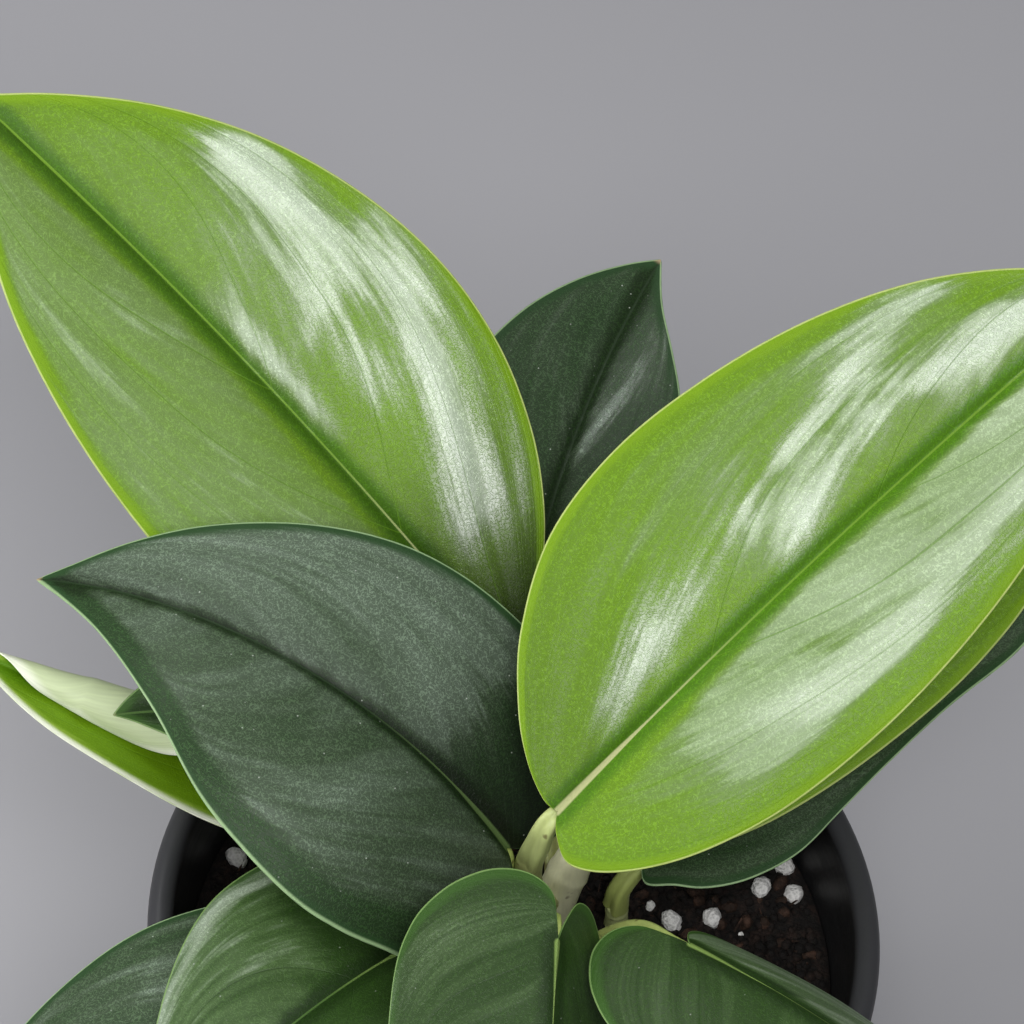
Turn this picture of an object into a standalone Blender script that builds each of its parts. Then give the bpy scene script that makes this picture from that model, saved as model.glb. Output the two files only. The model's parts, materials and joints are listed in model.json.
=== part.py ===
"""Potted scindapsus: a round nursery pot of soil, four stems with their leaf stalks, and twelve leaves.

Metres, +Z up. The origin is the middle of the pot's flat foot, and the front of the plant looks along -Y.
"""

import math
from dataclasses import dataclass

import bmesh
import bpy
import numpy as np
from mathutils import Matrix, Vector

# Pot
RIM_RADIUS = 0.060
POT_HEIGHT = 0.095
FOOT_RADIUS = 0.043
RIM_DEPTH = 0.009
RIM_WIDTH = 0.0036
WALL = 0.0015
FLOOR = 0.002
FLOOR_ROUNDING = 0.001
FOOT_CHAMFER = 0.0012
RIM_CHAMFER = 0.0008
LIP_RADIUS = 0.0021
LIP_ANGLES = (170, 135, 100, 65, 30, 0)
NECK_DEPTH = 0.004
NECK_STEP = 0.0006
POT_STEPS = 44
DRAIN_HOLES = 8
DRAIN_RADIUS = 0.003
DRAIN_CIRCLE = 0.031
DRAIN_SIDES = 12

# Soil
SOIL_TOP = 0.0785
SOIL_RELIEF = 0.00054
SOIL_RINGS = 8
SOIL_SHOULDER = 0.0085
HOLE_FLOOR = 0.066
HOLE_SIDES = 12
RELIEF_FADE = 6
GRAIN_RADIUS = 0.0017
GRAIN_SPREAD = 0.25
GRAIN_SHAPE = (1.15, 0.85, 0.8)
GRAIN_LIFT = 0.2
GRAIN_SPACING = 0.009
LOOSE_GRAINS = 12
LOOSE_SHARE = 0.92

# Clearance that neighbouring solids keep, and how far a side of the turned shapes falls inside their circle
GAP = 0.0003
FACET_SAG = 0.0001

# Leaves
BLADE_THICKNESS = 0.0008
RIB_THICKNESS = 0.0018
BLADE_ROWS = 17
MIDRIB_STEPS = 48
FAN_SHARE = 0.16
WAVES = 2.2
VEIN_SWEEP = 1.25

# Stems and leaf stalks
STEM_TAPER = 0.8
STALK_RADIUS = 0.00184
STALK_END_RADIUS = 0.0014
STALK_OVERLAP = 0.0015
STALK_RUN = 0.003
STALK_DIP = 0.0008

# Half outlines of a blade, as (along, across) shares of its length and half width, from stalk to tip
HEART = ((0, 0), (-0.03, 0.10), (-0.062, 0.30), (-0.055, 0.55), (0.0, 0.78), (0.11, 0.94), (0.26, 1.0),
         (0.42, 0.955), (0.58, 0.80), (0.73, 0.565), (0.85, 0.32), (0.935, 0.125), (1.0, 0.0))
LOBED = ((0, 0), (-0.045, 0.015), (-0.09, 0.05), (-0.12, 0.17), (-0.13, 0.34), (-0.12, 0.52), (-0.085, 0.73),
         (-0.02, 0.91), (0.09, 1.0), (0.30, 0.985), (0.53, 0.85), (0.78, 0.50), (1.0, 0.0))
OVATE = ((0, 0), (-0.022, 0.10), (-0.035, 0.28), (0.005, 0.52), (0.09, 0.76), (0.21, 0.93), (0.36, 1.0),
         (0.50, 0.975), (0.64, 0.87), (0.77, 0.69), (0.87, 0.46), (0.95, 0.20), (1.0, 0.0))
BROAD = ((0, 0), (-0.005, 0.07), (0.025, 0.20), (0.075, 0.40), (0.135, 0.60), (0.215, 0.79), (0.32, 0.94),
         (0.44, 1.0), (0.57, 0.955), (0.70, 0.81), (0.82, 0.57), (0.925, 0.27), (1.0, 0.0))
TAPER = ((0, 0), (0.0, 0.09), (0.02, 0.26), (0.06, 0.46), (0.13, 0.70), (0.24, 0.92), (0.37, 1.0),
         (0.50, 0.965), (0.64, 0.85), (0.77, 0.67), (0.87, 0.45), (0.95, 0.20), (1.0, 0.0))
POINTED = ((0, 0), (-0.022, 0.10), (-0.035, 0.28), (0.005, 0.52), (0.09, 0.76), (0.20, 0.93), (0.34, 1.0),
           (0.48, 0.97), (0.60, 0.86), (0.71, 0.69), (0.80, 0.48), (0.90, 0.21), (1.0, 0.0))
DRAWN = ((0, 0), (-0.05, 0.10), (-0.10, 0.30), (-0.09, 0.55), (0.0, 0.76), (0.09, 0.87), (0.18, 0.96),
         (0.28, 1.0), (0.40, 0.95), (0.53, 0.82), (0.67, 0.54), (0.83, 0.24), (1.0, 0.0))
WAISTED = ((0, 0), (-0.03, 0.10), (-0.045, 0.30), (-0.01, 0.50), (0.03, 0.74), (0.10, 0.93), (0.20, 1.0),
           (0.31, 0.90), (0.44, 0.77), (0.60, 0.62), (0.77, 0.53), (0.91, 0.27), (1.0, 0.0))

BRIGHT = (0.19, 0.42, 0.07)
GREEN = (0.09, 0.22, 0.07)
DARK = (0.045, 0.11, 0.06)
YOUNG = (0.30, 0.47, 0.11)


@dataclass
class Leaf:
    """A blade. Angles are in degrees.

    heading, rise and roll are (stalk, tip) pairs of the midrib's direction and the blade's turn about it.
    half_widths, fold, curl, lobes and outlines are (left, right) pairs, as seen along the midrib.
    fold is the slope of each half at the midrib, and curl is how far it turns on its way to the margin.
    """

    base: tuple
    length: float
    half_widths: tuple
    heading: tuple
    rise: tuple
    roll: tuple = (0, 0)
    fold: tuple = (12, 12)
    curl: tuple = (-25, -25)
    lobes: tuple = (1.0, 1.0)
    outlines: tuple = (HEART, HEART)
    wave: float = 0.0005
    columns: int = 10
    colour: tuple = DARK


LEAVES = {
    "leaf_bright_left": Leaf(
        base=(-0.004, 0.035, 0.116), length=0.129, half_widths=(0.0315, 0.0345), heading=(144, 148),
        rise=(30, 19), roll=(-21, -21), fold=(8, 8), curl=(-10, -10), outlines=(OVATE, BROAD), colour=BRIGHT),
    "leaf_bright_right": Leaf(
        base=(0.0045, 0.0002, 0.128), length=0.124, half_widths=(0.0342, 0.027), heading=(45, 41),
        rise=(28.5, 21), roll=(15, 15), fold=(8, 8), curl=(-10, -15), outlines=(TAPER, OVATE), colour=BRIGHT),
    "leaf_dark_back": Leaf(
        base=(-0.0045, 0.038, 0.103), length=0.084, half_widths=(0.0235, 0.021), heading=(87, 66),
        rise=(27, 7), curl=(-10, -10), outlines=(OVATE, POINTED)),
    "leaf_dark_left": Leaf(
        base=(-0.0025, 0.001, 0.1145), length=0.096, half_widths=(0.0333, 0.0286), heading=(158.5, 160),
        rise=(56, -31), roll=(-12, -4), fold=((25, 4), (4, 4)), curl=((-45, -10), (-10, -10)),
        outlines=(DRAWN, HEART)),
    "leaf_young_left": Leaf(
        base=(-0.014, 0.016, 0.0895), length=0.084, half_widths=(0.0136, 0.022), heading=(168.5, 164),
        rise=(12.5, 7.5), fold=((10, 10), (10, 30)), curl=((0, 0), (60, 400)), outlines=(OVATE, POINTED),
        columns=20, colour=YOUNG),
    "leaf_dark_tip_left": Leaf(
        base=(-0.021, 0.018, 0.106), length=0.0505, half_widths=(0.010, 0.011), heading=(174, 182),
        rise=(40, -22), roll=(0, -30), outlines=(HEART, OVATE)),
    "leaf_green_front": Leaf(
        base=(0.0064, -0.0250, 0.1308), length=0.088, half_widths=(0.020, 0.025), heading=(272.5, 268),
        rise=(-12, -48), fold=(-55, 0), curl=(-10, -10), lobes=(1.5, 1.0), outlines=(HEART, LOBED),
        colour=GREEN),
    "leaf_silver_front_left": Leaf(
        base=(-0.0142, -0.0112, 0.105), length=0.060, half_widths=(0.024, 0.0256), heading=(225.5, 225),
        rise=(20, -41), fold=(10, 12), curl=(-30, -20)),
    "leaf_low_left": Leaf(
        base=(-0.020, -0.0156, 0.102), length=0.080, half_widths=(0.016, 0.0215), heading=(202, 206),
        rise=(5, -50), fold=(6, 6), outlines=(HEART, OVATE)),
    "leaf_green_front_right": Leaf(
        base=(0.0268, -0.0215, 0.1283), length=0.096, half_widths=(0.018, 0.021), heading=(331, 320),
        rise=(11, -32), fold=(-38, 6), lobes=(0.5, 1.0), outlines=(HEART, LOBED), colour=GREEN),
    "leaf_low_right": Leaf(
        base=(0.021, 0.014, 0.097), length=0.095, half_widths=(0.018, 0.0153), heading=(42, 42),
        rise=(8, 0), outlines=(OVATE, WAISTED)),
    "leaf_green_right": Leaf(
        base=(0.012, 0.013, 0.108), length=0.096, half_widths=(0.020, 0.0185), heading=(38, 36),
        rise=(20, 10), roll=(10, 10), outlines=(OVATE, OVATE), colour=GREEN),
}


@dataclass
class Stem:
    """A stem through its points, and its leaf stalks, each through its own points up to its blade."""

    radius: float
    points: tuple
    stalks: dict
    colour: tuple


STEMS = {
    "stem_pale": Stem(
        radius=0.0040,
        points=((0.0055, 0.009, HOLE_FLOOR + GAP), (0.0055, 0.009, 0.080), (0.0070, 0.0105, 0.089),
                (0.0095, 0.0125, 0.098)),
        stalks={
            "leaf_bright_right": ((0.0060, 0.0090, 0.084), (0.0025, 0.0050, 0.095), (0.0012, 0.0020, 0.108),
                                  (0.0022, 0.0003, 0.118)),
            "leaf_bright_left": ((0.0090, 0.0120, 0.096), (0.0085, 0.0190, 0.105), (0.0040, 0.0290, 0.110)),
            "leaf_dark_back": ((0.0068, 0.0100, 0.088), (0.0050, 0.0200, 0.094), (-0.0010, 0.0300, 0.0975)),
            "leaf_green_right": ((0.0092, 0.0122, 0.097), (0.0096, 0.0120, 0.1015)),
        },
        colour=(0.52, 0.60, 0.36)),
    "stem_green_right": Stem(
        radius=0.0022,
        points=((0.017, 0.0105, HOLE_FLOOR + GAP), (0.017, 0.0105, 0.080), (0.0166, 0.0102, 0.086)),
        stalks={"leaf_low_right": ((0.0166, 0.0102, 0.085), (0.0170, 0.0105, 0.0905))},
        colour=(0.42, 0.52, 0.18)),
    "stem_left": Stem(
        radius=0.0032,
        points=((-0.006, 0.003, HOLE_FLOOR + GAP), (-0.006, 0.003, 0.080), (-0.0056, 0.0022, 0.096)),
        stalks={
            "leaf_dark_left": ((-0.0056, 0.0022, 0.094), (-0.0045, 0.0005, 0.103)),
            "leaf_young_left": ((-0.0060, 0.0030, 0.0825), (-0.0100, 0.0110, 0.0845)),
            "leaf_dark_tip_left": ((-0.0056, 0.0024, 0.094), (-0.0100, 0.0090, 0.101)),
        },
        colour=(0.36, 0.46, 0.20)),
    "stem_front": Stem(
        radius=0.0034,
        points=((0.002, -0.011, HOLE_FLOOR + GAP), (0.002, -0.011, 0.080), (0.0025, -0.0125, 0.100)),
        stalks={
            "leaf_green_front": ((0.0025, -0.0125, 0.098), (0.0045, -0.0150, 0.116)),
            "leaf_green_front_right": ((0.0023, -0.0120, 0.092), (0.0110, -0.0120, 0.106),
                                       (0.0190, -0.0145, 0.1185)),
            "leaf_silver_front_left": ((0.0022, -0.0115, 0.090), (-0.0060, -0.0095, 0.0965)),
            "leaf_low_left": ((0.0020, -0.0110, 0.0845), (-0.0070, -0.0125, 0.090)),
        },
        colour=(0.40, 0.48, 0.24)),
}

# Grains of perlite that show between the leaves, as (x, y) on the soil
SHOWN_GRAINS = ((0.0405, 0.0215), (0.0450, 0.0225), (0.0425, 0.0275), (0.0265, 0.0170), (0.0325, 0.0185),
                (0.0235, 0.0200), (-0.0425, 0.0265), (-0.0455, 0.0225))


def clear_scene():
    """Removes whatever the scene starts with."""
    for obj in list(bpy.data.objects):
        bpy.data.objects.remove(obj, do_unlink=True)


def new_collection(name):
    collection = bpy.data.collections.new(name)
    bpy.context.scene.collection.children.link(collection)
    return collection


def new_material(name, colour, roughness, metallic=0.0):
    material = bpy.data.materials.new(name)
    material.use_nodes = True
    shader = material.node_tree.nodes["Principled BSDF"]
    shader.inputs["Base Color"].default_value = (*colour, 1.0)
    shader.inputs["Roughness"].default_value = roughness
    shader.inputs["Metallic"].default_value = metallic
    return material


def new_object(name, data, collection, material=None):
    obj = bpy.data.objects.new(name, data)
    collection.objects.link(obj)
    if material:
        data.materials.append(material)
    return obj


def make_cutter(obj):
    obj.hide_render = True
    obj.display_type = "WIRE"


def baked(obj, weld=1e-6):
    """Turns an object into a plain mesh object of the same name, with its modifiers and transform applied."""
    graph = bpy.context.evaluated_depsgraph_get()
    mesh = bpy.data.meshes.new_from_object(obj.evaluated_get(graph), depsgraph=graph)
    work = bmesh.new()
    work.from_mesh(mesh)
    bmesh.ops.remove_doubles(work, verts=work.verts, dist=weld)
    work.transform(obj.matrix_world)
    work.to_mesh(mesh)
    work.free()
    name = obj.name
    collection = obj.users_collection[0]
    materials = [slot.material for slot in obj.material_slots]
    bpy.data.objects.remove(obj, do_unlink=True)
    mesh.materials.clear()
    result = new_object(name, mesh, collection)
    for material in materials:
        mesh.materials.append(material)
    return result


def boolean(obj, operation, collection, solver="EXACT"):
    """Adds a Boolean of the object with everything in the collection."""
    modifier = obj.modifiers.new(operation.title(), "BOOLEAN")
    modifier.operation = operation
    modifier.solver = solver
    modifier.operand_type = "COLLECTION"
    modifier.collection = collection


def turned(name, profile, steps, collection, material):
    """A solid of revolution about Z from (radius, height) points that run down its outer side."""
    mesh = bpy.data.meshes.new(name)
    mesh.from_pydata([(r, 0.0, z) for r, z in profile], [(i, i + 1) for i in range(len(profile) - 1)], [])
    obj = new_object(name, mesh, collection, material)
    screw = obj.modifiers.new("Turn", "SCREW")
    screw.steps = steps
    screw.render_steps = steps
    screw.use_merge_vertices = True
    screw.merge_threshold = 1e-5
    return obj


def cylinder(name, radius, bottom, top, sides, collection, centre=(0.0, 0.0)):
    mesh = bpy.data.meshes.new(name)
    work = bmesh.new()
    place = Matrix.Translation((centre[0], centre[1], (bottom + top) / 2))
    bmesh.ops.create_cone(work, cap_ends=True, segments=sides, radius1=radius, radius2=radius,
                          depth=top - bottom, matrix=place)
    work.to_mesh(mesh)
    work.free()
    return new_object(name, mesh, collection)


def shade_smooth(obj, sharp_angle=40):
    obj.data.shade_smooth()
    obj.data.set_sharp_from_angle(angle=math.radians(sharp_angle))


def wall_radius(height):
    """Outer radius of the pot's tapered wall."""
    top = RIM_RADIUS - RIM_WIDTH
    return FOOT_RADIUS + (top - FOOT_RADIUS) * height / (POT_HEIGHT - RIM_DEPTH)


def soil_radius(height):
    """Radius of the soil, clear of the pot's flat-sided turning."""
    return wall_radius(height) - WALL - GAP - FACET_SAG


def make_pot(collection, cutters, material):
    """The pot: a tapered wall with a rolled rim, a flat floor and a ring of drain holes."""
    skirt = POT_HEIGHT - RIM_DEPTH
    inner_rim = RIM_RADIUS - RIM_WIDTH
    profile = [
        (0.0, FLOOR),
        (wall_radius(FLOOR) - WALL - FLOOR_ROUNDING, FLOOR),
        (wall_radius(FLOOR + FLOOR_ROUNDING) - WALL, FLOOR + FLOOR_ROUNDING),
        (wall_radius(skirt) - WALL, skirt),
        (inner_rim - NECK_STEP, POT_HEIGHT - NECK_DEPTH),
    ]
    for angle in np.radians(LIP_ANGLES):
        radius = RIM_RADIUS - LIP_RADIUS * (1 - math.cos(angle))
        height = POT_HEIGHT - LIP_RADIUS * (1 - math.sin(angle))
        profile.append((radius, height))
    profile += [
        (RIM_RADIUS, skirt + RIM_CHAMFER),
        (RIM_RADIUS - RIM_CHAMFER, skirt),
        (wall_radius(skirt - RIM_CHAMFER), skirt - RIM_CHAMFER),
        (wall_radius(FOOT_CHAMFER), FOOT_CHAMFER),
        (FOOT_RADIUS - FOOT_CHAMFER, 0.0),
        (0.0, 0.0),
    ]
    pot = turned("pot", profile, POT_STEPS, collection, material)
    for index in range(DRAIN_HOLES):
        angle = 2 * math.pi * (index + 0.5) / DRAIN_HOLES
        centre = (DRAIN_CIRCLE * math.cos(angle), DRAIN_CIRCLE * math.sin(angle))
        make_cutter(cylinder(f"drain_{index}", DRAIN_RADIUS, -FLOOR, 2 * FLOOR, DRAIN_SIDES, cutters, centre))
    boolean(pot, "DIFFERENCE", cutters)
    pot = baked(pot)
    shade_smooth(pot)
    return pot


def soil_height(x, y):
    """The soil's uneven top."""
    relief = np.sin(310 * x + 1.3) * np.cos(270 * y - 0.4) + 0.6 * np.sin(560 * y + 250 * x)
    return SOIL_TOP + SOIL_RELIEF * relief


def make_soil(collection, cutters, grains, material):
    """The soil: it fills the pot, and has an uneven top, plain holes for the stems and grains of perlite."""
    edge = soil_radius(SOIL_TOP)
    profile = [(r, SOIL_TOP) for r in np.linspace(0.0, edge, SOIL_RINGS + 1)]
    profile += [
        (soil_radius(SOIL_TOP - SOIL_SHOULDER), SOIL_TOP - SOIL_SHOULDER),
        (soil_radius(3 * FLOOR), 3 * FLOOR),
        (soil_radius(FLOOR) - FLOOR_ROUNDING, FLOOR + GAP),
        (0.0, FLOOR + GAP),
    ]
    soil = baked(turned("soil", profile, POT_STEPS, collection, material))
    for vertex in soil.data.vertices:
        x, y, z = vertex.co
        if z > SOIL_TOP - 1e-4:
            fade = min(1.0, RELIEF_FADE * (1 - math.hypot(x, y) / edge))
            vertex.co.z = SOIL_TOP + fade * (soil_height(x, y) - SOIL_TOP)
    for name, stem in STEMS.items():
        x, y, _ = stem.points[0]
        radius = stem.radius + GAP
        make_cutter(cylinder(f"hole_{name}", radius, HOLE_FLOOR, POT_HEIGHT, HOLE_SIDES, cutters, (x, y)))
    rng = np.random.default_rng(7)
    places = list(SHOWN_GRAINS)
    stems = [stem.points[0][:2] for stem in STEMS.values()]
    while len(places) < len(SHOWN_GRAINS) + LOOSE_GRAINS:
        radius = edge * LOOSE_SHARE * math.sqrt(rng.random())
        angle = 2 * math.pi * rng.random()
        place = (radius * math.cos(angle), radius * math.sin(angle))
        if min(math.dist(place, other) for other in places + stems) > GRAIN_SPACING:
            places.append(place)
    for index, (x, y) in enumerate(places):
        mesh = bpy.data.meshes.new(f"grain_{index}")
        size = GRAIN_RADIUS * (1 + GRAIN_SPREAD * rng.uniform(-1, 1))
        turn = Matrix.Rotation(2 * math.pi * rng.random(), 4, "Z") @ Matrix.Diagonal((*GRAIN_SHAPE, 1.0))
        found, surface, _, _ = soil.ray_cast(Vector((x, y, POT_HEIGHT)), Vector((0, 0, -1)))
        if not found:
            raise RuntimeError(f"grain {index} lies beside the soil")
        place = Matrix.Translation((x, y, surface.z + GRAIN_LIFT * size))
        work = bmesh.new()
        bmesh.ops.create_icosphere(work, subdivisions=1, radius=size, matrix=place @ turn)
        work.to_mesh(mesh)
        work.free()
        make_cutter(new_object(f"grain_{index}", mesh, grains))
    boolean(soil, "DIFFERENCE", cutters)
    boolean(soil, "UNION", grains, solver="MANIFOLD")
    soil = baked(soil)
    shade_smooth(soil, 60)
    return soil


def ease(values, ends):
    """The value that runs evenly from ends[0] at the stalk to ends[1] at the tip."""
    return ends[0] + (ends[1] - ends[0]) * np.clip(values, 0, 1)


def directions(leaf, along):
    """Unit vectors at shares of the blade's length: along the midrib, up from the blade and to its right."""
    heading = np.radians(ease(along, leaf.heading))
    rise = np.radians(ease(along, leaf.rise))
    roll = np.radians(ease(along, leaf.roll))[..., None]
    forward = np.stack([np.cos(heading) * np.cos(rise), np.sin(heading) * np.cos(rise), np.sin(rise)], -1)
    up = np.stack([-np.cos(heading) * np.sin(rise), -np.sin(heading) * np.sin(rise), np.cos(rise)], -1)
    right = np.cross(forward, up)
    return forward, up * np.cos(roll) + right * np.sin(roll), right * np.cos(roll) - up * np.sin(roll)


def midrib(leaf, along):
    """Points on the midrib, which turns evenly from stalk to tip and runs straight on behind the stalk."""
    middles = (np.arange(MIDRIB_STEPS) + 0.5) / MIDRIB_STEPS
    forward, _, _ = directions(leaf, middles)
    travelled = np.vstack([np.zeros(3), np.cumsum(forward * leaf.length / MIDRIB_STEPS, axis=0)])
    stops = np.linspace(0, 1, MIDRIB_STEPS + 1)
    inside = np.clip(along, 0, 1)
    points = np.stack([np.interp(inside, stops, travelled[:, axis]) for axis in range(3)], -1)
    start, _, _ = directions(leaf, np.zeros(1))
    return np.array(leaf.base) + points + start[0] * (np.minimum(along, 0) * leaf.length)[..., None]


def outline_point(outline, share):
    """Points of a smooth curve through the outline's points (Catmull-Rom)."""
    points = np.array(outline, float)
    last = len(points) - 1
    place = np.clip(share, 0, 1) * last
    index = np.minimum(place.astype(int), last - 1)
    f = (place - index)[..., None]
    p0, p1, p2, p3 = (points[np.clip(index + step, 0, last)] for step in (-1, 0, 1, 2))
    return p1 + 0.5 * (
        (p2 - p0) * f + (2 * p0 - 5 * p1 + 4 * p2 - p3) * f**2 + (3 * p1 - p0 - 3 * p2 + p3) * f**3)


def by_side(across, along, pair):
    """The value of a (left, right) pair at each point, where a side may itself be a (stalk, tip) pair."""
    left, right = (side if isinstance(side, tuple) else (side, side) for side in pair)
    return np.where(across < 0, ease(along, left), ease(along, right))


def blade_points(leaf, share, across):
    """Points of the blade's upper face. share runs along the margin from stalk to tip, across from -1 to 1.

    Lines of equal share are the side veins, which sweep forward from the midrib to the margin.
    """
    left = (across < 0)[..., None]
    edge = np.where(left, outline_point(leaf.outlines[0], share), outline_point(leaf.outlines[1], share))
    lobe = np.where(across < 0, leaf.lobes[0], leaf.lobes[1])
    edge_along = np.where(edge[..., 0] < 0, edge[..., 0] * lobe, edge[..., 0])
    root = root_of(share)
    out = np.abs(across)
    along = root + (edge_along - root) * out
    width = edge[..., 1] * out
    _, up, right = directions(leaf, along)
    side = np.where(across < 0, -1.0, 1.0)
    fold = np.radians(by_side(across, along, leaf.fold))
    curl = np.radians(by_side(across, along, leaf.curl))
    curl = np.where(np.abs(curl) < 1e-4, 1e-4, curl)
    reach = np.where(across < 0, leaf.half_widths[0], leaf.half_widths[1])
    sideways = (np.sin(fold + curl * width) - np.sin(fold)) / curl * reach
    lift = (np.cos(fold) - np.cos(fold + curl * width)) / curl * reach
    lift = lift + leaf.wave * np.sin(2 * math.pi * (WAVES * np.clip(along, 0, 1) + 0.25 * side)) * width**2
    return midrib(leaf, along) + right * (sideways * side)[..., None] + up * lift[..., None]


def root_of(share):
    """Where on the midrib the side vein of this share starts. The first ones all fan out from the stalk."""
    return np.clip((share - FAN_SHARE) / (1 - FAN_SHARE), 0, 1) ** VEIN_SWEEP


def rib_weight(along):
    """The share of its extra thickness that the midrib has: all of it near the stalk, none at either end."""
    return float(np.interp(along, (0.0, 0.07, 0.2, 1.0), (0.0, 0.0, 1.0, 0.0)))


def make_leaf(name, leaf, collection):
    """A blade: a grid shaped by blade_points, thickened downwards, with the midrib standing out below."""
    shares, acrosses = np.meshgrid(np.linspace(0, 1, BLADE_ROWS + 1), np.linspace(-1, 1, leaf.columns + 1),
                                   indexing="ij")
    points = blade_points(leaf, shares, acrosses).reshape(-1, 3)
    work = bmesh.new()
    bmesh.ops.create_grid(work, x_segments=leaf.columns, y_segments=BLADE_ROWS, size=1.0)
    deform = work.verts.layers.deform.verify()
    thin = BLADE_THICKNESS / RIB_THICKNESS
    for vertex in work.verts:
        column = round((vertex.co.x + 1) / 2 * leaf.columns)
        row = round((vertex.co.y + 1) / 2 * BLADE_ROWS)
        rib = rib_weight(root_of(row / BLADE_ROWS)) if column == leaf.columns // 2 else 0.0
        vertex[deform][0] = thin + (1 - thin) * rib
        vertex.co = points[row * (leaf.columns + 1) + column]
    bmesh.ops.remove_doubles(work, verts=work.verts, dist=1e-5)
    bmesh.ops.triangulate(work, faces=work.faces)
    mesh = bpy.data.meshes.new(name)
    work.to_mesh(mesh)
    work.free()
    blade = new_object(name, mesh, collection, new_material(name, leaf.colour, 0.38))
    blade.vertex_groups.new(name="thickness")
    solidify = blade.modifiers.new("Thickness", "SOLIDIFY")
    solidify.thickness = RIB_THICKNESS
    solidify.offset = -1
    solidify.vertex_group = "thickness"
    shade_smooth(blade, 50)
    return blade


def stalk_end(leaf):
    """The last two points of a stalk: it runs in along the midrib and ends against the blade's underside."""
    along = np.array([STALK_OVERLAP / leaf.length])
    forward, up, right = (vector[0] for vector in directions(leaf, along))
    left_fold, right_fold = (side[0] if isinstance(side, tuple) else side for side in leaf.fold)
    below_left = math.radians(180 - left_fold)
    below_right = math.radians(360 + right_fold)
    middle = (below_left + below_right) / 2
    half_opening = min((below_right - below_left) / 2, math.pi / 2)
    away = right * math.cos(middle) + up * math.sin(middle)
    distance = (STALK_END_RADIUS + BLADE_THICKNESS + 2 * GAP) / math.sin(half_opening)
    end = midrib(leaf, along)[0] + away * distance
    before = end - forward * STALK_RUN + away * STALK_DIP
    return tuple(before), tuple(end)


def smooth_path(points, count):
    """Points spread along a smooth curve through the given ones, which may lie unevenly far apart."""
    given = np.array(points, float)
    stops = np.append(0.0, np.cumsum(np.linalg.norm(np.diff(given, axis=0), axis=1)))
    slopes = np.gradient(given, stops, axis=0)
    result = []
    for share in np.linspace(0, len(given) - 1, count):
        index = min(int(share), len(given) - 2)
        t = share - index
        span = stops[index + 1] - stops[index]
        result.append((1 + 2 * t) * (1 - t)**2 * given[index] + t * (1 - t)**2 * span * slopes[index]
                      + t**2 * (3 - 2 * t) * given[index + 1] - t**2 * (1 - t) * span * slopes[index + 1])
    return result


def tube(name, points, radii, collection, material, count, bevel_resolution):
    """A round tapered stalk through the points, as a curve with filled caps."""
    curve = bpy.data.curves.new(name, "CURVE")
    curve.dimensions = "3D"
    curve.bevel_depth = 1.0
    curve.bevel_resolution = bevel_resolution
    curve.use_fill_caps = True
    path = smooth_path(points, count)
    spline = curve.splines.new("POLY")
    spline.points.add(count - 1)
    for index, (point, target) in enumerate(zip(spline.points, path)):
        point.co = (*target, 1.0)
        point.radius = radii[0] + (radii[1] - radii[0]) * index / (count - 1)
    return new_object(name, curve, collection, material)


def make_stem(name, stem, collection):
    """A stem and its leaf stalks, grown together in one body."""
    material = new_material(name, stem.colour, 0.45)
    radii = (stem.radius, stem.radius * STEM_TAPER)
    body = baked(tube(name, stem.points, radii, collection, material, 8, 3))
    helpers = new_collection(f"{name}_stalks")
    for leaf_name, points in stem.stalks.items():
        path = [*points, *stalk_end(LEAVES[leaf_name])]
        radii = (STALK_RADIUS, STALK_END_RADIUS)
        make_cutter(baked(tube(f"stalk_{leaf_name}", path, radii, helpers, material, 11, 2)))
    boolean(body, "UNION", helpers, solver="MANIFOLD")
    body = baked(body)
    for helper in list(helpers.objects):
        bpy.data.objects.remove(helper, do_unlink=True)
    bpy.data.collections.remove(helpers)
    shade_smooth(body, 50)
    return body


def main():
    clear_scene()
    plant = new_collection("potted_scindapsus")
    pot_cutters = new_collection("pot_cutters")
    soil_cutters = new_collection("soil_cutters")
    grains = new_collection("grains")
    make_pot(plant, pot_cutters, new_material("pot", (0.018, 0.018, 0.020), 0.45))
    make_soil(plant, soil_cutters, grains, new_material("soil", (0.030, 0.018, 0.012), 0.95))
    for name, stem in STEMS.items():
        make_stem(name, stem, plant)
    for name, leaf in LEAVES.items():
        make_leaf(name, leaf, plant)


main()
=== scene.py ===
"""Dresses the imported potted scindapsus: its leaves, stems, soil and pot, with studio light and a camera.

Metres, +Z up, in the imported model's own frame: the origin is the middle of the pot's foot.
"""

import json
import math
from dataclasses import dataclass

import bmesh
import bpy
import numpy as np
from mathutils import Matrix, Vector

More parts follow.
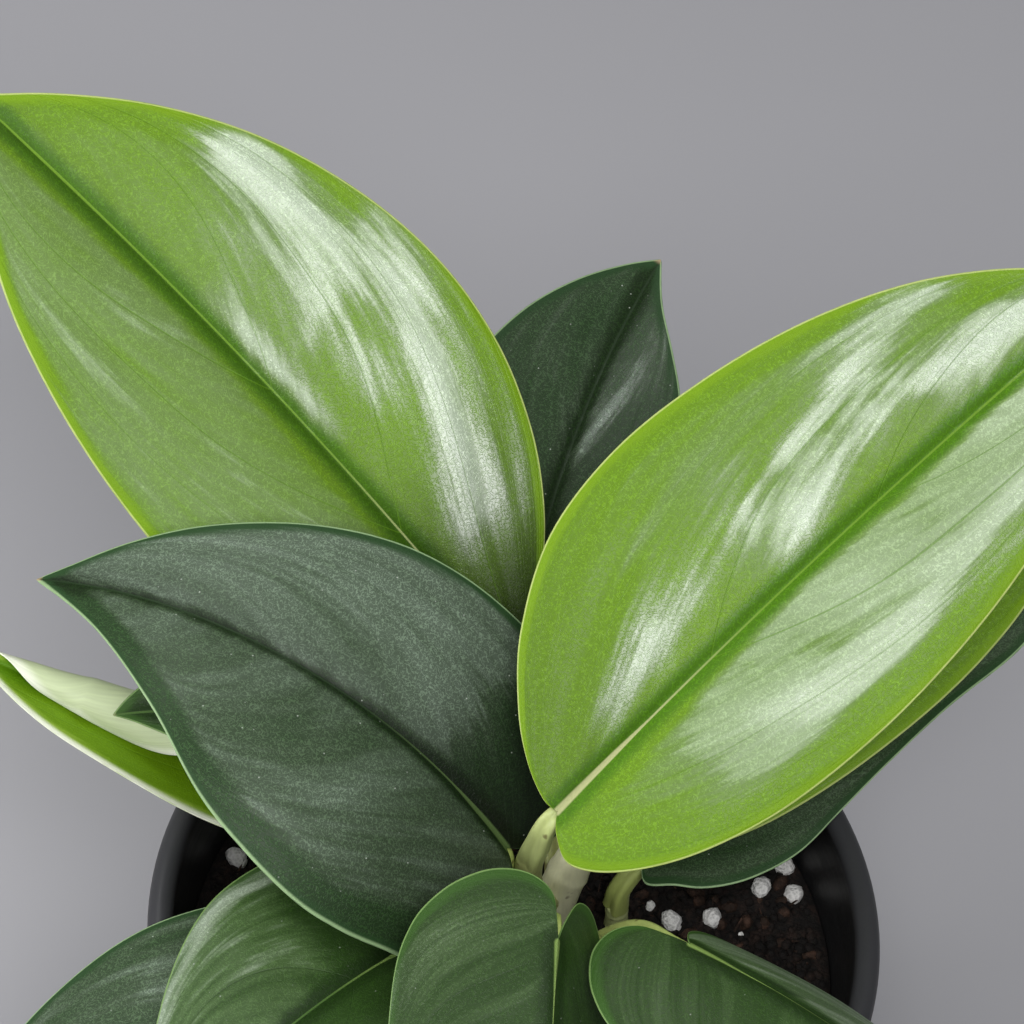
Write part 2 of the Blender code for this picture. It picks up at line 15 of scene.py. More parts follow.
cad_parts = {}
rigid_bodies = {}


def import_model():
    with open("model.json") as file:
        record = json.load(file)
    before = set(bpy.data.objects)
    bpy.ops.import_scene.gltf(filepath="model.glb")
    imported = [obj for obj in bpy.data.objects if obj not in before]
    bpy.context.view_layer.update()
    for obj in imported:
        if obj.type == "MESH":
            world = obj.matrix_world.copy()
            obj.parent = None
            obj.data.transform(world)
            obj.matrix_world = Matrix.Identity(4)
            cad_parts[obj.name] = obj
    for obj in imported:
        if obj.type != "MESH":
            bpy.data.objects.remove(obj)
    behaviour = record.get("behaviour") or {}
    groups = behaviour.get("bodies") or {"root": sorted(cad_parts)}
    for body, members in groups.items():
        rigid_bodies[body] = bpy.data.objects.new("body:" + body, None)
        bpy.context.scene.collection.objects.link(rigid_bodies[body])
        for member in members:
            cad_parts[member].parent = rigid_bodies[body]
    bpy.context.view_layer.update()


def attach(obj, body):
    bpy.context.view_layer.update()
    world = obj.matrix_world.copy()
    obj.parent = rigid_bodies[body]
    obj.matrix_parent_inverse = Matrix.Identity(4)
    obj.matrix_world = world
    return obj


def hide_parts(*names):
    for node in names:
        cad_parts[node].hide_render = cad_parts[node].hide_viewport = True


bl_info = {
    "name": "Potted scindapsus",
    "version": (1, 0, 0),
    "blender": (4, 5, 0),
    "location": "View3D > Sidebar > Scindapsus",
    "description": "Builds the leaves, stems, soil, pot and studio of a potted scindapsus",
    "category": "Object",
}

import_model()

MM = 0.001

# Pot and soil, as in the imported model
RIM_RADIUS = 0.060
POT_HEIGHT = 0.095
FOOT_RADIUS = 0.043
RIM_DEPTH = 0.009
RIM_WIDTH = 0.0036
LIP_RADIUS = 0.0021
WALL = 0.0015
FLOOR = 0.002
SOIL_FOOT = 0.0024
SOIL_TOP = 0.0785
SOIL_HOLE = 0.0663
DRAIN_COUNT = 8
DRAIN_CIRCLE = 0.031
DRAIN_RADIUS = 0.003
TURNED_STEPS = 160
# How far the soil stays clear of the wall, at its top and below
TOP_GAP = 0.0002
SOIL_GAP = 0.0003

# Grains of perlite that show between the leaves, as (x, y, size)
SHOWN_GRAINS = (
    (0.0410, 0.0200, 1.0), (0.0466, 0.0196, 1.0), (0.0445, 0.0248, 1.0), (0.0262, 0.0118, 1.0),
    (0.0330, 0.0129, 1.0), (0.0226, 0.0145, 0.5), (-0.0476, 0.0158, 1.0), (-0.0462, 0.0198, 1.0))
LARGE_GRAINS = 16
GRAINS = 46
GRAIN_GAP = 0.005
SOIL_SEED = 11
GRAIN_SEED = 7

# The photograph's camera, as found from the pot's rim, and the point that the lights face
CAMERA_PLACE = (-0.007088, -0.360508, 0.694986)
CAMERA_LENS, CAMERA_SENSOR = 150.0, 36.0
LIGHT_AIM = (0.0, 0.02, 0.13)

# Half outlines of a blade, as (along, across) shares of its length and half width, from stalk to tip
HEART = ((0, 0), (-0.03, 0.10), (-0.062, 0.30), (-0.055, 0.55), (0.0, 0.78), (0.11, 0.94), (0.26, 1.0),
         (0.42, 0.955), (0.58, 0.80), (0.73, 0.565), (0.85, 0.32), (0.935, 0.125), (1.0, 0.0))
LOBED = ((0, 0), (-0.045, 0.015), (-0.09, 0.05), (-0.12, 0.17), (-0.13, 0.34), (-0.12, 0.52), (-0.085, 0.73),
         (-0.02, 0.91), (0.09, 1.0), (0.30, 0.985), (0.53, 0.85), (0.78, 0.50), (1.0, 0.0))
OVATE = ((0, 0), (-0.022, 0.10), (-0.035, 0.28), (0.005, 0.52), (0.09, 0.76), (0.21, 0.93), (0.36, 1.0),
         (0.50, 0.975), (0.64, 0.87), (0.77, 0.69), (0.87, 0.46), (0.95, 0.20), (1.0, 0.0))
BROAD = ((0, 0), (-0.005, 0.07), (0.025, 0.20), (0.075, 0.40), (0.135, 0.60), (0.215, 0.79), (0.32, 0.94),
         (0.44, 1.0), (0.57, 0.955), (0.70, 0.81), (0.82, 0.57), (0.925, 0.27), (1.0, 0.0))
TAPER = ((0, 0), (0.0, 0.09), (0.02, 0.26), (0.06, 0.46), (0.13, 0.70), (0.24, 0.92), (0.37, 1.0),
         (0.50, 0.965), (0.64, 0.85), (0.77, 0.67), (0.87, 0.45), (0.95, 0.20), (1.0, 0.0))
POINTED = ((0, 0), (-0.022, 0.10), (-0.035, 0.28), (0.005, 0.52), (0.09, 0.76), (0.20, 0.93), (0.34, 1.0),
           (0.48, 0.97), (0.60, 0.86), (0.71, 0.69), (0.80, 0.48), (0.90, 0.21), (1.0, 0.0))
DRAWN = ((0, 0), (-0.05, 0.10), (-0.10, 0.30), (-0.09, 0.55), (0.0, 0.76), (0.09, 0.87), (0.18, 0.96),
         (0.28, 1.0), (0.40, 0.95), (0.53, 0.82), (0.67, 0.54), (0.83, 0.24), (1.0, 0.0))
WAISTED = ((0, 0), (-0.03, 0.10), (-0.045, 0.30), (-0.01, 0.50), (0.03, 0.74), (0.10, 0.93), (0.20, 1.0),
           (0.31, 0.90), (0.44, 0.77), (0.60, 0.62), (0.77, 0.53), (0.91, 0.27), (1.0, 0.0))

# How a blade's rows of points start: the first share fans out from the stalk, the rest crowd towards it
FAN_SHARE = 0.16
VEIN_SWEEP = 1.25
# How far a side vein leans to the tip, how many start along the midrib, and the waves along the margin
VEIN_LEAN = 0.84
SIDE_VEINS = 8
WAVES = 2.2
# A row of points runs slantwise to the margin, which is this much nearer than the row's end
MARGIN_SLANT = 0.85
# Side veins from one swelling of the blade to the next, for its large and its small ones
SWELL_VEINS = (4.4, 2.7)

# How finely the blades and stems are drawn
MIDRIB_STEPS = 48
BLADE_ROWS = 120
BLADE_COLUMNS = 32
MARGIN_ARC = 3
STEM_RINGS, STEM_SIDES = 40, 32
STALK_RINGS, STALK_SIDES = 44, 28

# How often the noise in a blade's skin changes, in one side vein and in one length of the blade
BLOTCHES = (0.45, 4.0, 0.0)
STRIPES = (1.3, 2.5, 0.0)
STREAKS = (3.0, 7.0, 0.0)


@dataclass
class Leaf:
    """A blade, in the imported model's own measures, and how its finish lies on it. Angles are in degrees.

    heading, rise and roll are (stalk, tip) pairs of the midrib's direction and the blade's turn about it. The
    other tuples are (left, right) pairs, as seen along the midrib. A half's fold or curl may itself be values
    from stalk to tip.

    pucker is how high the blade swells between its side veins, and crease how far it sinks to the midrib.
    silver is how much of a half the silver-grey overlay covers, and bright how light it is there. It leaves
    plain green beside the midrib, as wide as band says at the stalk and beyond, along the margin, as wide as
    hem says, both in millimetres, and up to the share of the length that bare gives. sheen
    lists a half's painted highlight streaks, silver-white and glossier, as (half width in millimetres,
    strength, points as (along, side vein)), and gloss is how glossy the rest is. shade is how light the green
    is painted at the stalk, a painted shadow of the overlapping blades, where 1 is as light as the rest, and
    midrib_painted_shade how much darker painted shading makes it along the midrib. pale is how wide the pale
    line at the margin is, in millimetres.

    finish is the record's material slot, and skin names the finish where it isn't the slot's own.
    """

    finish: str
    base: tuple
    length: float
    half_widths: tuple
    heading: tuple
    rise: tuple
    roll: tuple = (0, 0)
    fold: tuple = (12, 12)
    curl: tuple = (-25, -25)
    lobes: tuple = (1.0, 1.0)
    outlines: tuple = (HEART, HEART)
    wave: float = 0.0005
    pucker: float = 0.0001
    crease: float = 0.0002
    silver: tuple = (0.8, 0.8)
    bright: tuple = (0.5, 0.5)
    band: tuple = ((1.5, 1.0), (1.5, 1.0))
    hem: tuple = (0.6, 0.6)
    bare: tuple = (-1.0, -1.0)
    sheen: tuple = ((), ())
    gloss: tuple = (0.4, 0.4)
    shade: tuple = (1.0, 1.0)
    midrib_painted_shade: tuple = (0.0, 0.0)
    pale: tuple = (0.22, 0.22)
    skin: str = ""


LEAVES = {
    "leaf_bright_left": Leaf(
        "leaf_bright", base=(-0.004, 0.035, 0.116), length=0.129, half_widths=(0.0315, 0.0345),
        heading=(144, 148), rise=(30, 19), roll=(-21, -21), fold=(8, 8), curl=(-10, -10),
        outlines=(OVATE, BROAD), pucker=0.00032, crease=0.0007, silver=(1.0, 0.85), bright=(0.46, 0.20),
        band=((4.0, 2.4), (5.0, 0.3)), hem=(1.2, 3.0), bare=(-1.0, 0.20), gloss=(0.1, 0.35),
        shade=(0.6, 0.18), midrib_painted_shade=(0.45, 0.25),
        sheen=((), ((8.5, 1.05, ((0.42, 3.3), (0.57, 3.0), (0.63, 2.6), (0.69, 1.9), (0.80, 1.0))),
                    (4.4, 0.85, ((0.30, 2.7), (0.45, 3.1), (0.56, 3.6))),
                    (6.6, 1.0, ((0.10, 0.8), (0.18, -0.1), (0.24, -0.1), (0.32, -0.2), (0.41, -0.8),
                                (0.50, -1.8), (0.62, -2.5))),
                    (2.6, 0.95, ((0.29, 3.5), (0.35, 3.85), (0.40, 4.2), (0.48, 4.75), (0.57, 5.3),
                                 (0.63, 5.5)))))),
    "leaf_bright_right": Leaf(
        "leaf_bright", base=(0.0045, 0.0002, 0.128), length=0.124, half_widths=(0.0342, 0.027),
        heading=(45, 41), rise=(28.5, 21), roll=(15, 15), fold=(8, 8), curl=(-10, -15),
        outlines=(TAPER, OVATE), pucker=0.00032, crease=0.0006, silver=(0.80, 1.1), bright=(0.32, 0.76),
        band=((3.0, 2.0), (4.0, 1.4)), hem=(2.6, 3.8), bare=(0.14, -0.06), gloss=(0.3, 0.3),
        shade=(0.75, 1.0),
        sheen=(((3.9, 0.9, ((0.06, 0.8), (0.10, 1.1), (0.15, 1.6), (0.21, 2.2), (0.25, 2.4), (0.35, 2.8),
                            (0.44, 2.9), (0.52, 2.8))),
                (2.4, 0.85, ((0.44, 2.7), (0.54, 2.78), (0.60, 3.1), (0.65, 3.6), (0.74, 4.2))),
                (4.0, 1.0, ((0.40, 4.38), (0.50, 4.36), (0.57, 4.36), (0.64, 4.42), (0.72, 4.6))),
                (3.8, 0.9, ((0.55, 2.8), (0.60, 2.65), (0.64, 2.26), (0.68, 1.6), (0.76, 0.8), (0.88, 0.4))),
                (3.6, 0.9, ((0.60, 3.9), (0.66, 4.18), (0.71, 4.9), (0.77, 5.43), (0.84, 5.9), (0.97, 6.4)))),
               ((3.6, 0.75, ((0.24, 0.2), (0.43, 0.9), (0.66, 1.9), (0.85, 2.6))),))),
    "leaf_dark_back": Leaf(
        "leaf_dark", base=(-0.0045, 0.038, 0.103), length=0.084, half_widths=(0.0235, 0.021),
        heading=(87, 66), rise=(27, 7), curl=(-10, -10), outlines=(OVATE, POINTED), silver=(0.9, 1.1),
        bright=(0.16, 0.18), gloss=(0.2, 0.4),
        sheen=((), ((1.6, 0.6, ((0.45, 4.9), (0.67, 5.2), (0.90, 5.5))),))),
    "leaf_dark_left": Leaf(
        "leaf_dark", base=(-0.0025, 0.001, 0.1145), length=0.096, half_widths=(0.0333, 0.0286),
        heading=(158.5, 160), rise=(56, -31), roll=(-12, -4), fold=((25, 4), (4, 4)),
        curl=((-45, -10), (-10, -10)), outlines=(DRAWN, HEART), silver=(1.1, 1.3), bright=(0.58, 0.74),
        band=((1.0, 0.3), (1.0, 0.3)), hem=(4.4, 0.5), bare=(-1.0, 0.02), gloss=(0.3, 0.2), shade=(0.7, 0.32),
        midrib_painted_shade=(0.1, 0.50), pale=(0.6, 0.22)),
    "leaf_young_left": Leaf(
        "leaf_young", base=(-0.014, 0.016, 0.0895), length=0.084, half_widths=(0.0136, 0.022),
        heading=(168.5, 164), rise=(12.5, 7.5), fold=((10, 10), (10, 30)),
        curl=((0, 0), (60, 145, 220, 420, 1100)), outlines=(OVATE, POINTED), silver=(0.0, 0.0),
        pale=(1.2, 0.3)),
    "leaf_dark_tip_left": Leaf(
        "leaf_dark", base=(-0.021, 0.018, 0.106), length=0.0505, half_widths=(0.010, 0.011),
        heading=(174, 182), rise=(40, -22), roll=(0, -30), outlines=(HEART, OVATE), silver=(0.6, 0.6),
        bright=(0.4, 0.4), skin="leaf_green"),
    "leaf_green_front": Leaf(
        "leaf_green", base=(0.0064, -0.0250, 0.1308), length=0.088, half_widths=(0.020, 0.025),
        heading=(272.5, 268), rise=(-12, -48), fold=(-55, 0), curl=(-10, -10), lobes=(1.5, 1.0),
        outlines=(HEART, LOBED), silver=(0.4, 0.6), bright=(0.1, 0.12),
        sheen=((), ((3.0, 0.5, ((-0.09, -4.6), (-0.04, -4.33), (0.05, -3.8), (0.20, -3.2))),)),
        gloss=(0.3, 0.4), shade=(1.0, 0.85)),
    "leaf_silver_front_left": Leaf(
        "leaf_dark", base=(-0.0142, -0.0112, 0.105), length=0.060, half_widths=(0.024, 0.0256),
        heading=(225.5, 225), rise=(20, -41), fold=(10, 12), curl=(-30, -20), silver=(0.3, 1.1),
        bright=(0.1, 0.40),
        sheen=((), ((3.2, 0.9, ((0.02, -5.5), (0.30, -5.5), (0.60, -5.0), (0.98, -4.0))),)),
        bare=(-1.0, 0.12), gloss=(0.1, 0.4), shade=(0.8, 0.45), skin="leaf_green"),
    "leaf_low_left": Leaf(
        "leaf_dark", base=(-0.020, -0.0156, 0.102), length=0.080, half_widths=(0.016, 0.0215),
        heading=(202, 206), rise=(5, -50), fold=(6, 6), outlines=(HEART, OVATE)),
    "leaf_green_front_right": Leaf(
        "leaf_green", base=(0.0268, -0.0215, 0.1283), length=0.096, half_widths=(0.018, 0.021),
        heading=(331, 320), rise=(11, -32), fold=(-38, 6), lobes=(0.5, 1.0), outlines=(HEART, LOBED),
        silver=(1.1, 0.6), bright=(0.65, 0.16), gloss=(0.3, 0.3), shade=(1.0, 0.8)),
    "leaf_low_right": Leaf(
        "leaf_dark", base=(0.021, 0.014, 0.097), length=0.095, half_widths=(0.018, 0.0153),
        heading=(42, 42), rise=(8, 0), outlines=(OVATE, WAISTED), silver=(0.9, 0.9), bright=(0.28, 0.30)),
    "leaf_green_right": Leaf(
        "leaf_green", base=(0.012, 0.013, 0.108), length=0.096, half_widths=(0.020, 0.0185), heading=(38, 36),
        rise=(20, 10), roll=(10, 10), outlines=(OVATE, OVATE), silver=(0.4, 0.4), bright=(0.2, 0.2),
        skin="leaf_bright"),
}


@dataclass
class Stem:
    """A stem through its points, and its leaf stalks, each through its own points up to its blade."""

    radius: float
    points: tuple
    stalks: dict
    pale: float
    stalk_radius: float = 0.0018


STEMS = {
    "stem_pale": Stem(
        radius=0.0040, pale=1.0, stalk_radius=0.0021,
        points=((0.0055, 0.009, SOIL_HOLE), (0.0055, 0.009, 0.080), (0.0070, 0.0105, 0.089),
                (0.0095, 0.0125, 0.098)),
        stalks={
            "leaf_bright_right": ((0.0060, 0.0090, 0.084), (0.0025, 0.0050, 0.095), (0.0012, 0.0020, 0.108),
                                  (0.0022, 0.0003, 0.118)),
            "leaf_bright_left": ((0.0090, 0.0120, 0.096), (0.0085, 0.0190, 0.105), (0.0040, 0.0290, 0.110)),
            "leaf_dark_back": ((0.0068, 0.0100, 0.088), (0.0050, 0.0200, 0.094), (-0.0010, 0.0300, 0.0975)),
            "leaf_green_right": ((0.0092, 0.0122, 0.097), (0.0096, 0.0120, 0.1015)),
        }),
    "stem_green_right": Stem(
        radius=0.0022, pale=0.45,
        points=((0.017, 0.0105, SOIL_HOLE), (0.017, 0.0105, 0.080), (0.0166, 0.0102, 0.086)),
        stalks={"leaf_low_right": ((0.0166, 0.0102, 0.085), (0.0170, 0.0105, 0.0905))}),
    "stem_left": Stem(
        radius=0.0032, pale=0.4,
        points=((-0.006, 0.003, SOIL_HOLE), (-0.006, 0.003, 0.080), (-0.0056, 0.0022, 0.096)),
        stalks={
            "leaf_dark_left": ((-0.0056, 0.0022, 0.094), (-0.0045, 0.0005, 0.103)),
            "leaf_young_left": ((-0.0060, 0.0030, 0.0825), (-0.0100, 0.0110, 0.0845)),
            "leaf_dark_tip_left": ((-0.0056, 0.0024, 0.094), (-0.0100, 0.0090, 0.101)),
        }),
    "stem_front": Stem(
        radius=0.0034, pale=0.5,
        points=((0.002, -0.011, SOIL_HOLE), (0.002, -0.011, 0.080), (0.0025, -0.0125, 0.100)),
        stalks={
            "leaf_green_front": ((0.0025, -0.0125, 0.098), (0.0045, -0.0150, 0.116)),
            "leaf_green_front_right": ((0.0023, -0.0120, 0.092), (0.0110, -0.0120, 0.106),
                                       (0.0190, -0.0145, 0.1185)),
            "leaf_silver_front_left": ((0.0022, -0.0115, 0.090), (-0.0060, -0.0095, 0.0965)),
            "leaf_low_left": ((0.0020, -0.0110, 0.0845), (-0.0070, -0.0125, 0.090)),
        }),
}


@dataclass
class Finish:
    """Colours of one kind of blade, as sRGB hex values, its gloss, and how strong its other marks are.

    swell is the height of the broad relief in millimetres. grain, net, stripe, dust and veins are how strong
    the cell lines, the net of small veins, the soft stripes, the specks and the main side veins are.
    """

    green: str
    body: str
    haze: str
    silver: str
    vein: str
    rib: str
    rib_base: str
    margin: str
    edge: str
    tip: str
    under: str
    roughness: float
    wax: float
    swell: float
    grain: float
    net: float
    stripe: float
    dust: float
    veins: float


FINISHES = {
    # Fresh leaves: a bright waxy green under a thin silver-grey bloom, with a yellow-green margin
    "leaf_bright": Finish(
        green="#4d7c00", body="#6d960a", haze="#78964e", silver="#b4c8a0", vein="#5f8a12", rib="#6e9624",
        rib_base="#b9bc84", margin="#7aa208", edge="#c0d078", tip="#a8b878", under="#9db67c", roughness=0.40,
        wax=1.0, swell=0.5, grain=0.32, net=0.10, stripe=0.10, dust=0.0, veins=0.55),
    # Grown leaves in full light: a middle green with a pale edge
    "leaf_green": Finish(
        green="#203a0c", body="#2e4b18", haze="#506b3c", silver="#92a387", vein="#233c10", rib="#4c6c30",
        rib_base="#7f9a4f", margin="#365a1c", edge="#7a9a58", tip="#9aa070", under="#7c9564", roughness=0.38,
        wax=0.6, swell=0.3, grain=0.38, net=0.05, stripe=0.7, dust=0.4, veins=0.40),
    # Old leaves: a dark blue-green, all but covered by the silver-grey bloom
    "leaf_dark": Finish(
        green="#1c3310", body="#2f4a26", haze="#495c42", silver="#7c8d7a", vein="#44563e", rib="#24381d",
        rib_base="#53693a", margin="#2b4a26", edge="#9dbb88", tip="#c4ad88", under="#6f8767", roughness=0.36,
        wax=0.7, swell=0.2, grain=0.74, net=0.05, stripe=0.25, dust=0.8, veins=0.12),
    # The young leaf, still half rolled: yellow-green inside and cream outside
    "leaf_young": Finish(
        green="#5a8602", body="#688f06", haze="#a8bf78", silver="#c3d19a", vein="#6a941a", rib="#5f8a14",
        rib_base="#c3cf95", margin="#9dbb45", edge="#eef2dc", tip="#dfe6c0", under="#c3d0a4", roughness=0.42,
        wax=0.2, swell=0.1, grain=0.10, net=0.05, stripe=0.0, dust=0.0, veins=0.40),
}


def linear(code):
    """The linear RGBA of an sRGB hex value."""
    values = [int(code[i:i + 2], 16) / 255 for i in (1, 3, 5)]
    return (*[v / 12.92 if v <= 0.04045 else ((v + 0.055) / 1.055) ** 2.4 for v in values], 1.0)


def node(tree, kind, inputs=(), out=0, **settings):
    """Adds a node with its settings, links or sets its inputs by name or place, and gives one of its outputs.

    A hex value becomes its colour.
    """
    made = tree.nodes.new(kind)
    for key, value in settings.items():
        setattr(made, key, value)
    for key, value in inputs.items() if isinstance(inputs, dict) else enumerate(inputs):
        if isinstance(value, bpy.types.NodeSocket):
            tree.links.new(value, made.inputs[key])
        elif isinstance(value, str) and value.startswith("#"):
            made.inputs[key].default_value = linear(value)
        elif value is not None:
            made.inputs[key].default_value = value
    return made.outputs[out] if made.outputs else made


def weighted(tree, total, *terms):
    """A value with others added to it, each times its weight."""
    for value, weight in terms:
        if weight != 0:
            total = node(tree, "ShaderNodeMath", (value, weight, total), operation="MULTIPLY_ADD")
    return total


def layered(tree, colour, *layers):
    """A colour with others laid over it, given as (share, colour) or (share, colour, strength)."""
    for share, tone, *strength in layers:
        if strength:
            share = node(tree, "ShaderNodeMath", (share, strength[0]), operation="MULTIPLY")
        colour = node(tree, "ShaderNodeMix", {0: share, 6: colour, 7: tone}, out=2, data_type="RGBA")
    return colour


def new_material(name):
    """An empty material and its tree."""
    material = bpy.data.materials.new(name)
    material.use_nodes = True
    material.node_tree.nodes.clear()
    return material, material.node_tree


def close_material(tree, inputs, height=None):
    """Ends a material in its shader, with its relief from a height in metres."""
    if height is not None:
        bump = node(tree, "ShaderNodeBump", {"Height": height, "Distance": 1.0, "Strength": 1.0})
        inputs = {**inputs, "Normal": bump, "Coat Normal": bump if "Coat Weight" in inputs else None}
    node(tree, "ShaderNodeOutputMaterial", {"Surface": node(tree, "ShaderNodeBsdfPrincipled", inputs)})


def new_object(name, mesh, materials):
    """A smooth object in the scene with its materials."""
    obj = bpy.data.objects.new(name, mesh)
    bpy.context.scene.collection.objects.link(obj)
    for material in materials:
        mesh.materials.append(material)
    mesh.shade_smooth()
    return obj


def evaluated_mesh(obj):
    """A plain mesh of what an object's modifiers make."""
    graph = bpy.context.evaluated_depsgraph_get()
    return bpy.data.meshes.new_from_object(obj.evaluated_get(graph), depsgraph=graph)


def write_closed(work, mesh, merge=0.0):
    """Writes a bmesh to a mesh, its doubled points merged and its faces turned outwards, and frees it."""
    if merge:
        bmesh.ops.remove_doubles(work, verts=work.verts, dist=merge)
    bmesh.ops.recalc_face_normals(work, faces=work.faces)
    work.to_mesh(mesh)
    work.free()
    return mesh


def ride(obj, slot, *nodes):
    """Fixes a finished piece to the model's one body, in place of its CAD nodes. The slot is not used."""
    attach(obj, "root")
    if nodes:
        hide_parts(*nodes)


# Leaves

def ease(values, ends):
    """One value all along, or values that run evenly from the first at the stalk to the last at the tip."""
    ends = np.atleast_1d(ends)
    return np.interp(values, np.linspace(0, 1, len(ends)), ends)


def directions(leaf, along):
    """Unit vectors at shares of the blade's length: along the midrib, up from the blade and to its right."""
    heading = np.radians(ease(along, leaf.heading))
    rise = np.radians(ease(along, leaf.rise))
    roll = np.radians(ease(along, leaf.roll))[..., None]
    forward = np.stack([np.cos(heading) * np.cos(rise), np.sin(heading) * np.cos(rise), np.sin(rise)], -1)
    up = np.stack([-np.cos(heading) * np.sin(rise), -np.sin(heading) * np.sin(rise), np.cos(rise)], -1)
    right = np.cross(forward, up)
    return forward, up * np.cos(roll) + right * np.sin(roll), right * np.cos(roll) - up * np.sin(roll)


def midrib(leaf, along):
    """Points on the midrib, which turns evenly from stalk to tip and runs straight on behind the stalk."""
    middles = (np.arange(MIDRIB_STEPS) + 0.5) / MIDRIB_STEPS
    forward, _, _ = directions(leaf, middles)
    travelled = np.vstack([np.zeros(3), np.cumsum(forward * leaf.length / MIDRIB_STEPS, axis=0)])
    stops = np.linspace(0, 1, MIDRIB_STEPS + 1)
    inside = np.clip(along, 0, 1)
    points = np.stack([np.interp(inside, stops, travelled[:, axis]) for axis in range(3)], -1)
    start, _, _ = directions(leaf, np.zeros(1))
    return np.array(leaf.base) + points + start[0] * (np.minimum(along, 0) * leaf.length)[..., None]


def outline_point(outline, share):
    """Points of a smooth curve through the outline's points (Catmull-Rom)."""
    points = np.array(outline, float)
    last = len(points) - 1
    place = np.clip(share, 0, 1) * last
    index = np.minimum(place.astype(int), last - 1)
    f = (place - index)[..., None]
    p0, p1, p2, p3 = (points[np.clip(index + step, 0, last)] for step in (-1, 0, 1, 2))
    return p1 + 0.5 * (
        (p2 - p0) * f + (2 * p0 - 5 * p1 + 4 * p2 - p3) * f**2 + (3 * p1 - p0 - 3 * p2 + p3) * f**3)


def vein_field(share, out):
    """A number that stays the same along a side vein, which leaves the midrib low and arches to the tip."""
    lean = VEIN_LEAN * out
    start = (share - lean) / (1 - lean)
    return np.where(start > 0, SIDE_VEINS * start, -SIDE_VEINS * np.log(1 - np.minimum(start, 0)))


def vein_spacing(vein, across, lengthwise):
    """Millimetres from one side vein to the next, from how fast the field changes over the flat blade."""
    flat = np.stack([lengthwise, across]) / MM
    down, over = (np.gradient(flat, axis=axis) for axis in (1, 2))
    vein_down, vein_over = (np.gradient(vein, axis=axis) for axis in (0, 1))
    area = down[0] * over[1] - down[1] * over[0]
    area = np.where(np.abs(area) < 1e-4, 1e-4, area)
    steep = np.hypot(vein_down * over[1] - vein_over * down[1], vein_over * down[0] - vein_down * over[0])
    return np.clip(np.abs(area) / np.maximum(steep, 1e-6), 0.02, 20)


def half_blade(leaf, side, settings):
    """One half of a blade (side 0 is left), as grids over the rows and the columns from midrib to margin.

    Gives the upper face's points and normals, the thickness there, and the fields that the finish reads.
    """
    steps = np.linspace(0, 1, BLADE_COLUMNS + 1)
    share, out = np.meshgrid(np.linspace(0, 1, BLADE_ROWS + 1), 0.4 * steps + 0.6 * steps**2, indexing="ij")
    reach = leaf.half_widths[side]
    sign = (-1.0, 1.0)[side]
    edge_along, edge_width = np.moveaxis(outline_point(leaf.outlines[side], share), -1, 0)
    edge_along = np.where(edge_along < 0, edge_along * leaf.lobes[side], edge_along)
    root = np.clip((share - FAN_SHARE) / (1 - FAN_SHARE), 0, 1) ** VEIN_SWEEP
    along = root + (edge_along - root) * out
    width = edge_width * out
    vein = vein_field(share, out)
    spacing = vein_spacing(vein, width * reach, along * leaf.length)
    rib_mm = np.where(along < 0, np.hypot(along * leaf.length, width * reach), width * reach) / MM
    row_mm = np.hypot((edge_along - root) * leaf.length, edge_width * reach) / MM
    edge_mm = MARGIN_SLANT * (1 - out) * row_mm

    # Across, each half is an arc that leaves the midrib at its fold. A curl of 0 would divide by it
    _, up, right = directions(leaf, along)
    fold = np.radians(ease(along, leaf.fold[side]))
    curl = np.radians(ease(along, leaf.curl[side]))
    curl = np.where(np.abs(curl) < 1e-4, 1e-4, curl)
    slope = fold + curl * width
    sideways = (np.sin(slope) - np.sin(fold)) / curl * reach
    lift = (np.cos(fold) - np.cos(slope)) / curl * reach
    lift = lift + leaf.wave * np.sin(2 * math.pi * (WAVES * np.clip(along, 0, 1) + 0.25 * sign)) * width**2
    normal = up * np.cos(slope)[..., None] - right * (sign * np.sin(slope))[..., None]

    # The midrib's groove, and swellings between the side veins that fade at midrib, margin and crowded veins
    fade = np.interp(along, (0.0, 0.10, 0.9, 1.0), (0.3, 1.0, 0.7, 0.0))
    groove = fade * (settings.groove_depth * np.exp(-(rib_mm / settings.groove_width * MM) ** 2)
                     + leaf.crease * np.exp(-rib_mm / 3.0))
    large, small = (vein * 2 * math.pi / apart for apart in SWELL_VEINS)
    swell = np.sin(large + 0.7) + 0.5 * np.sin(small + 5 * along + side)
    swell = swell * np.clip(spacing / 3, 0, 1) * (0.3 + 0.7 * leaf.gloss[side])
    ripple = leaf.pucker * swell * np.clip(rib_mm / 5, 0, 1) * np.clip(edge_mm / 5, 0, 1)
    top = midrib(leaf, along) + right * (sideways * sign)[..., None] + up * lift[..., None]
    top = top + normal * (ripple - groove)[..., None]
    thin = np.interp(edge_mm, (0.0, 2.5), (0.5, 1.0)) * settings.blade_thickness
    thick = thin + MM * np.interp(along, (0.0, 0.07, 0.2, 1.0), (0.1, 0.3, 1.0, 0.0)) * np.exp(
        -(rib_mm / 1.1) ** 2)

    fields = {"along": along, "vein": vein, "vein_mm": spacing, "rib_mm": rib_mm, "edge_mm": edge_mm,
              "rib": rib_mm / np.interp(along, (0.0, 0.16), (0.60, 0.13)), "pale": edge_mm / leaf.pale[side]}
    fields.update(finish_fields(leaf, side, fields))
    return top, normal, thick, fields


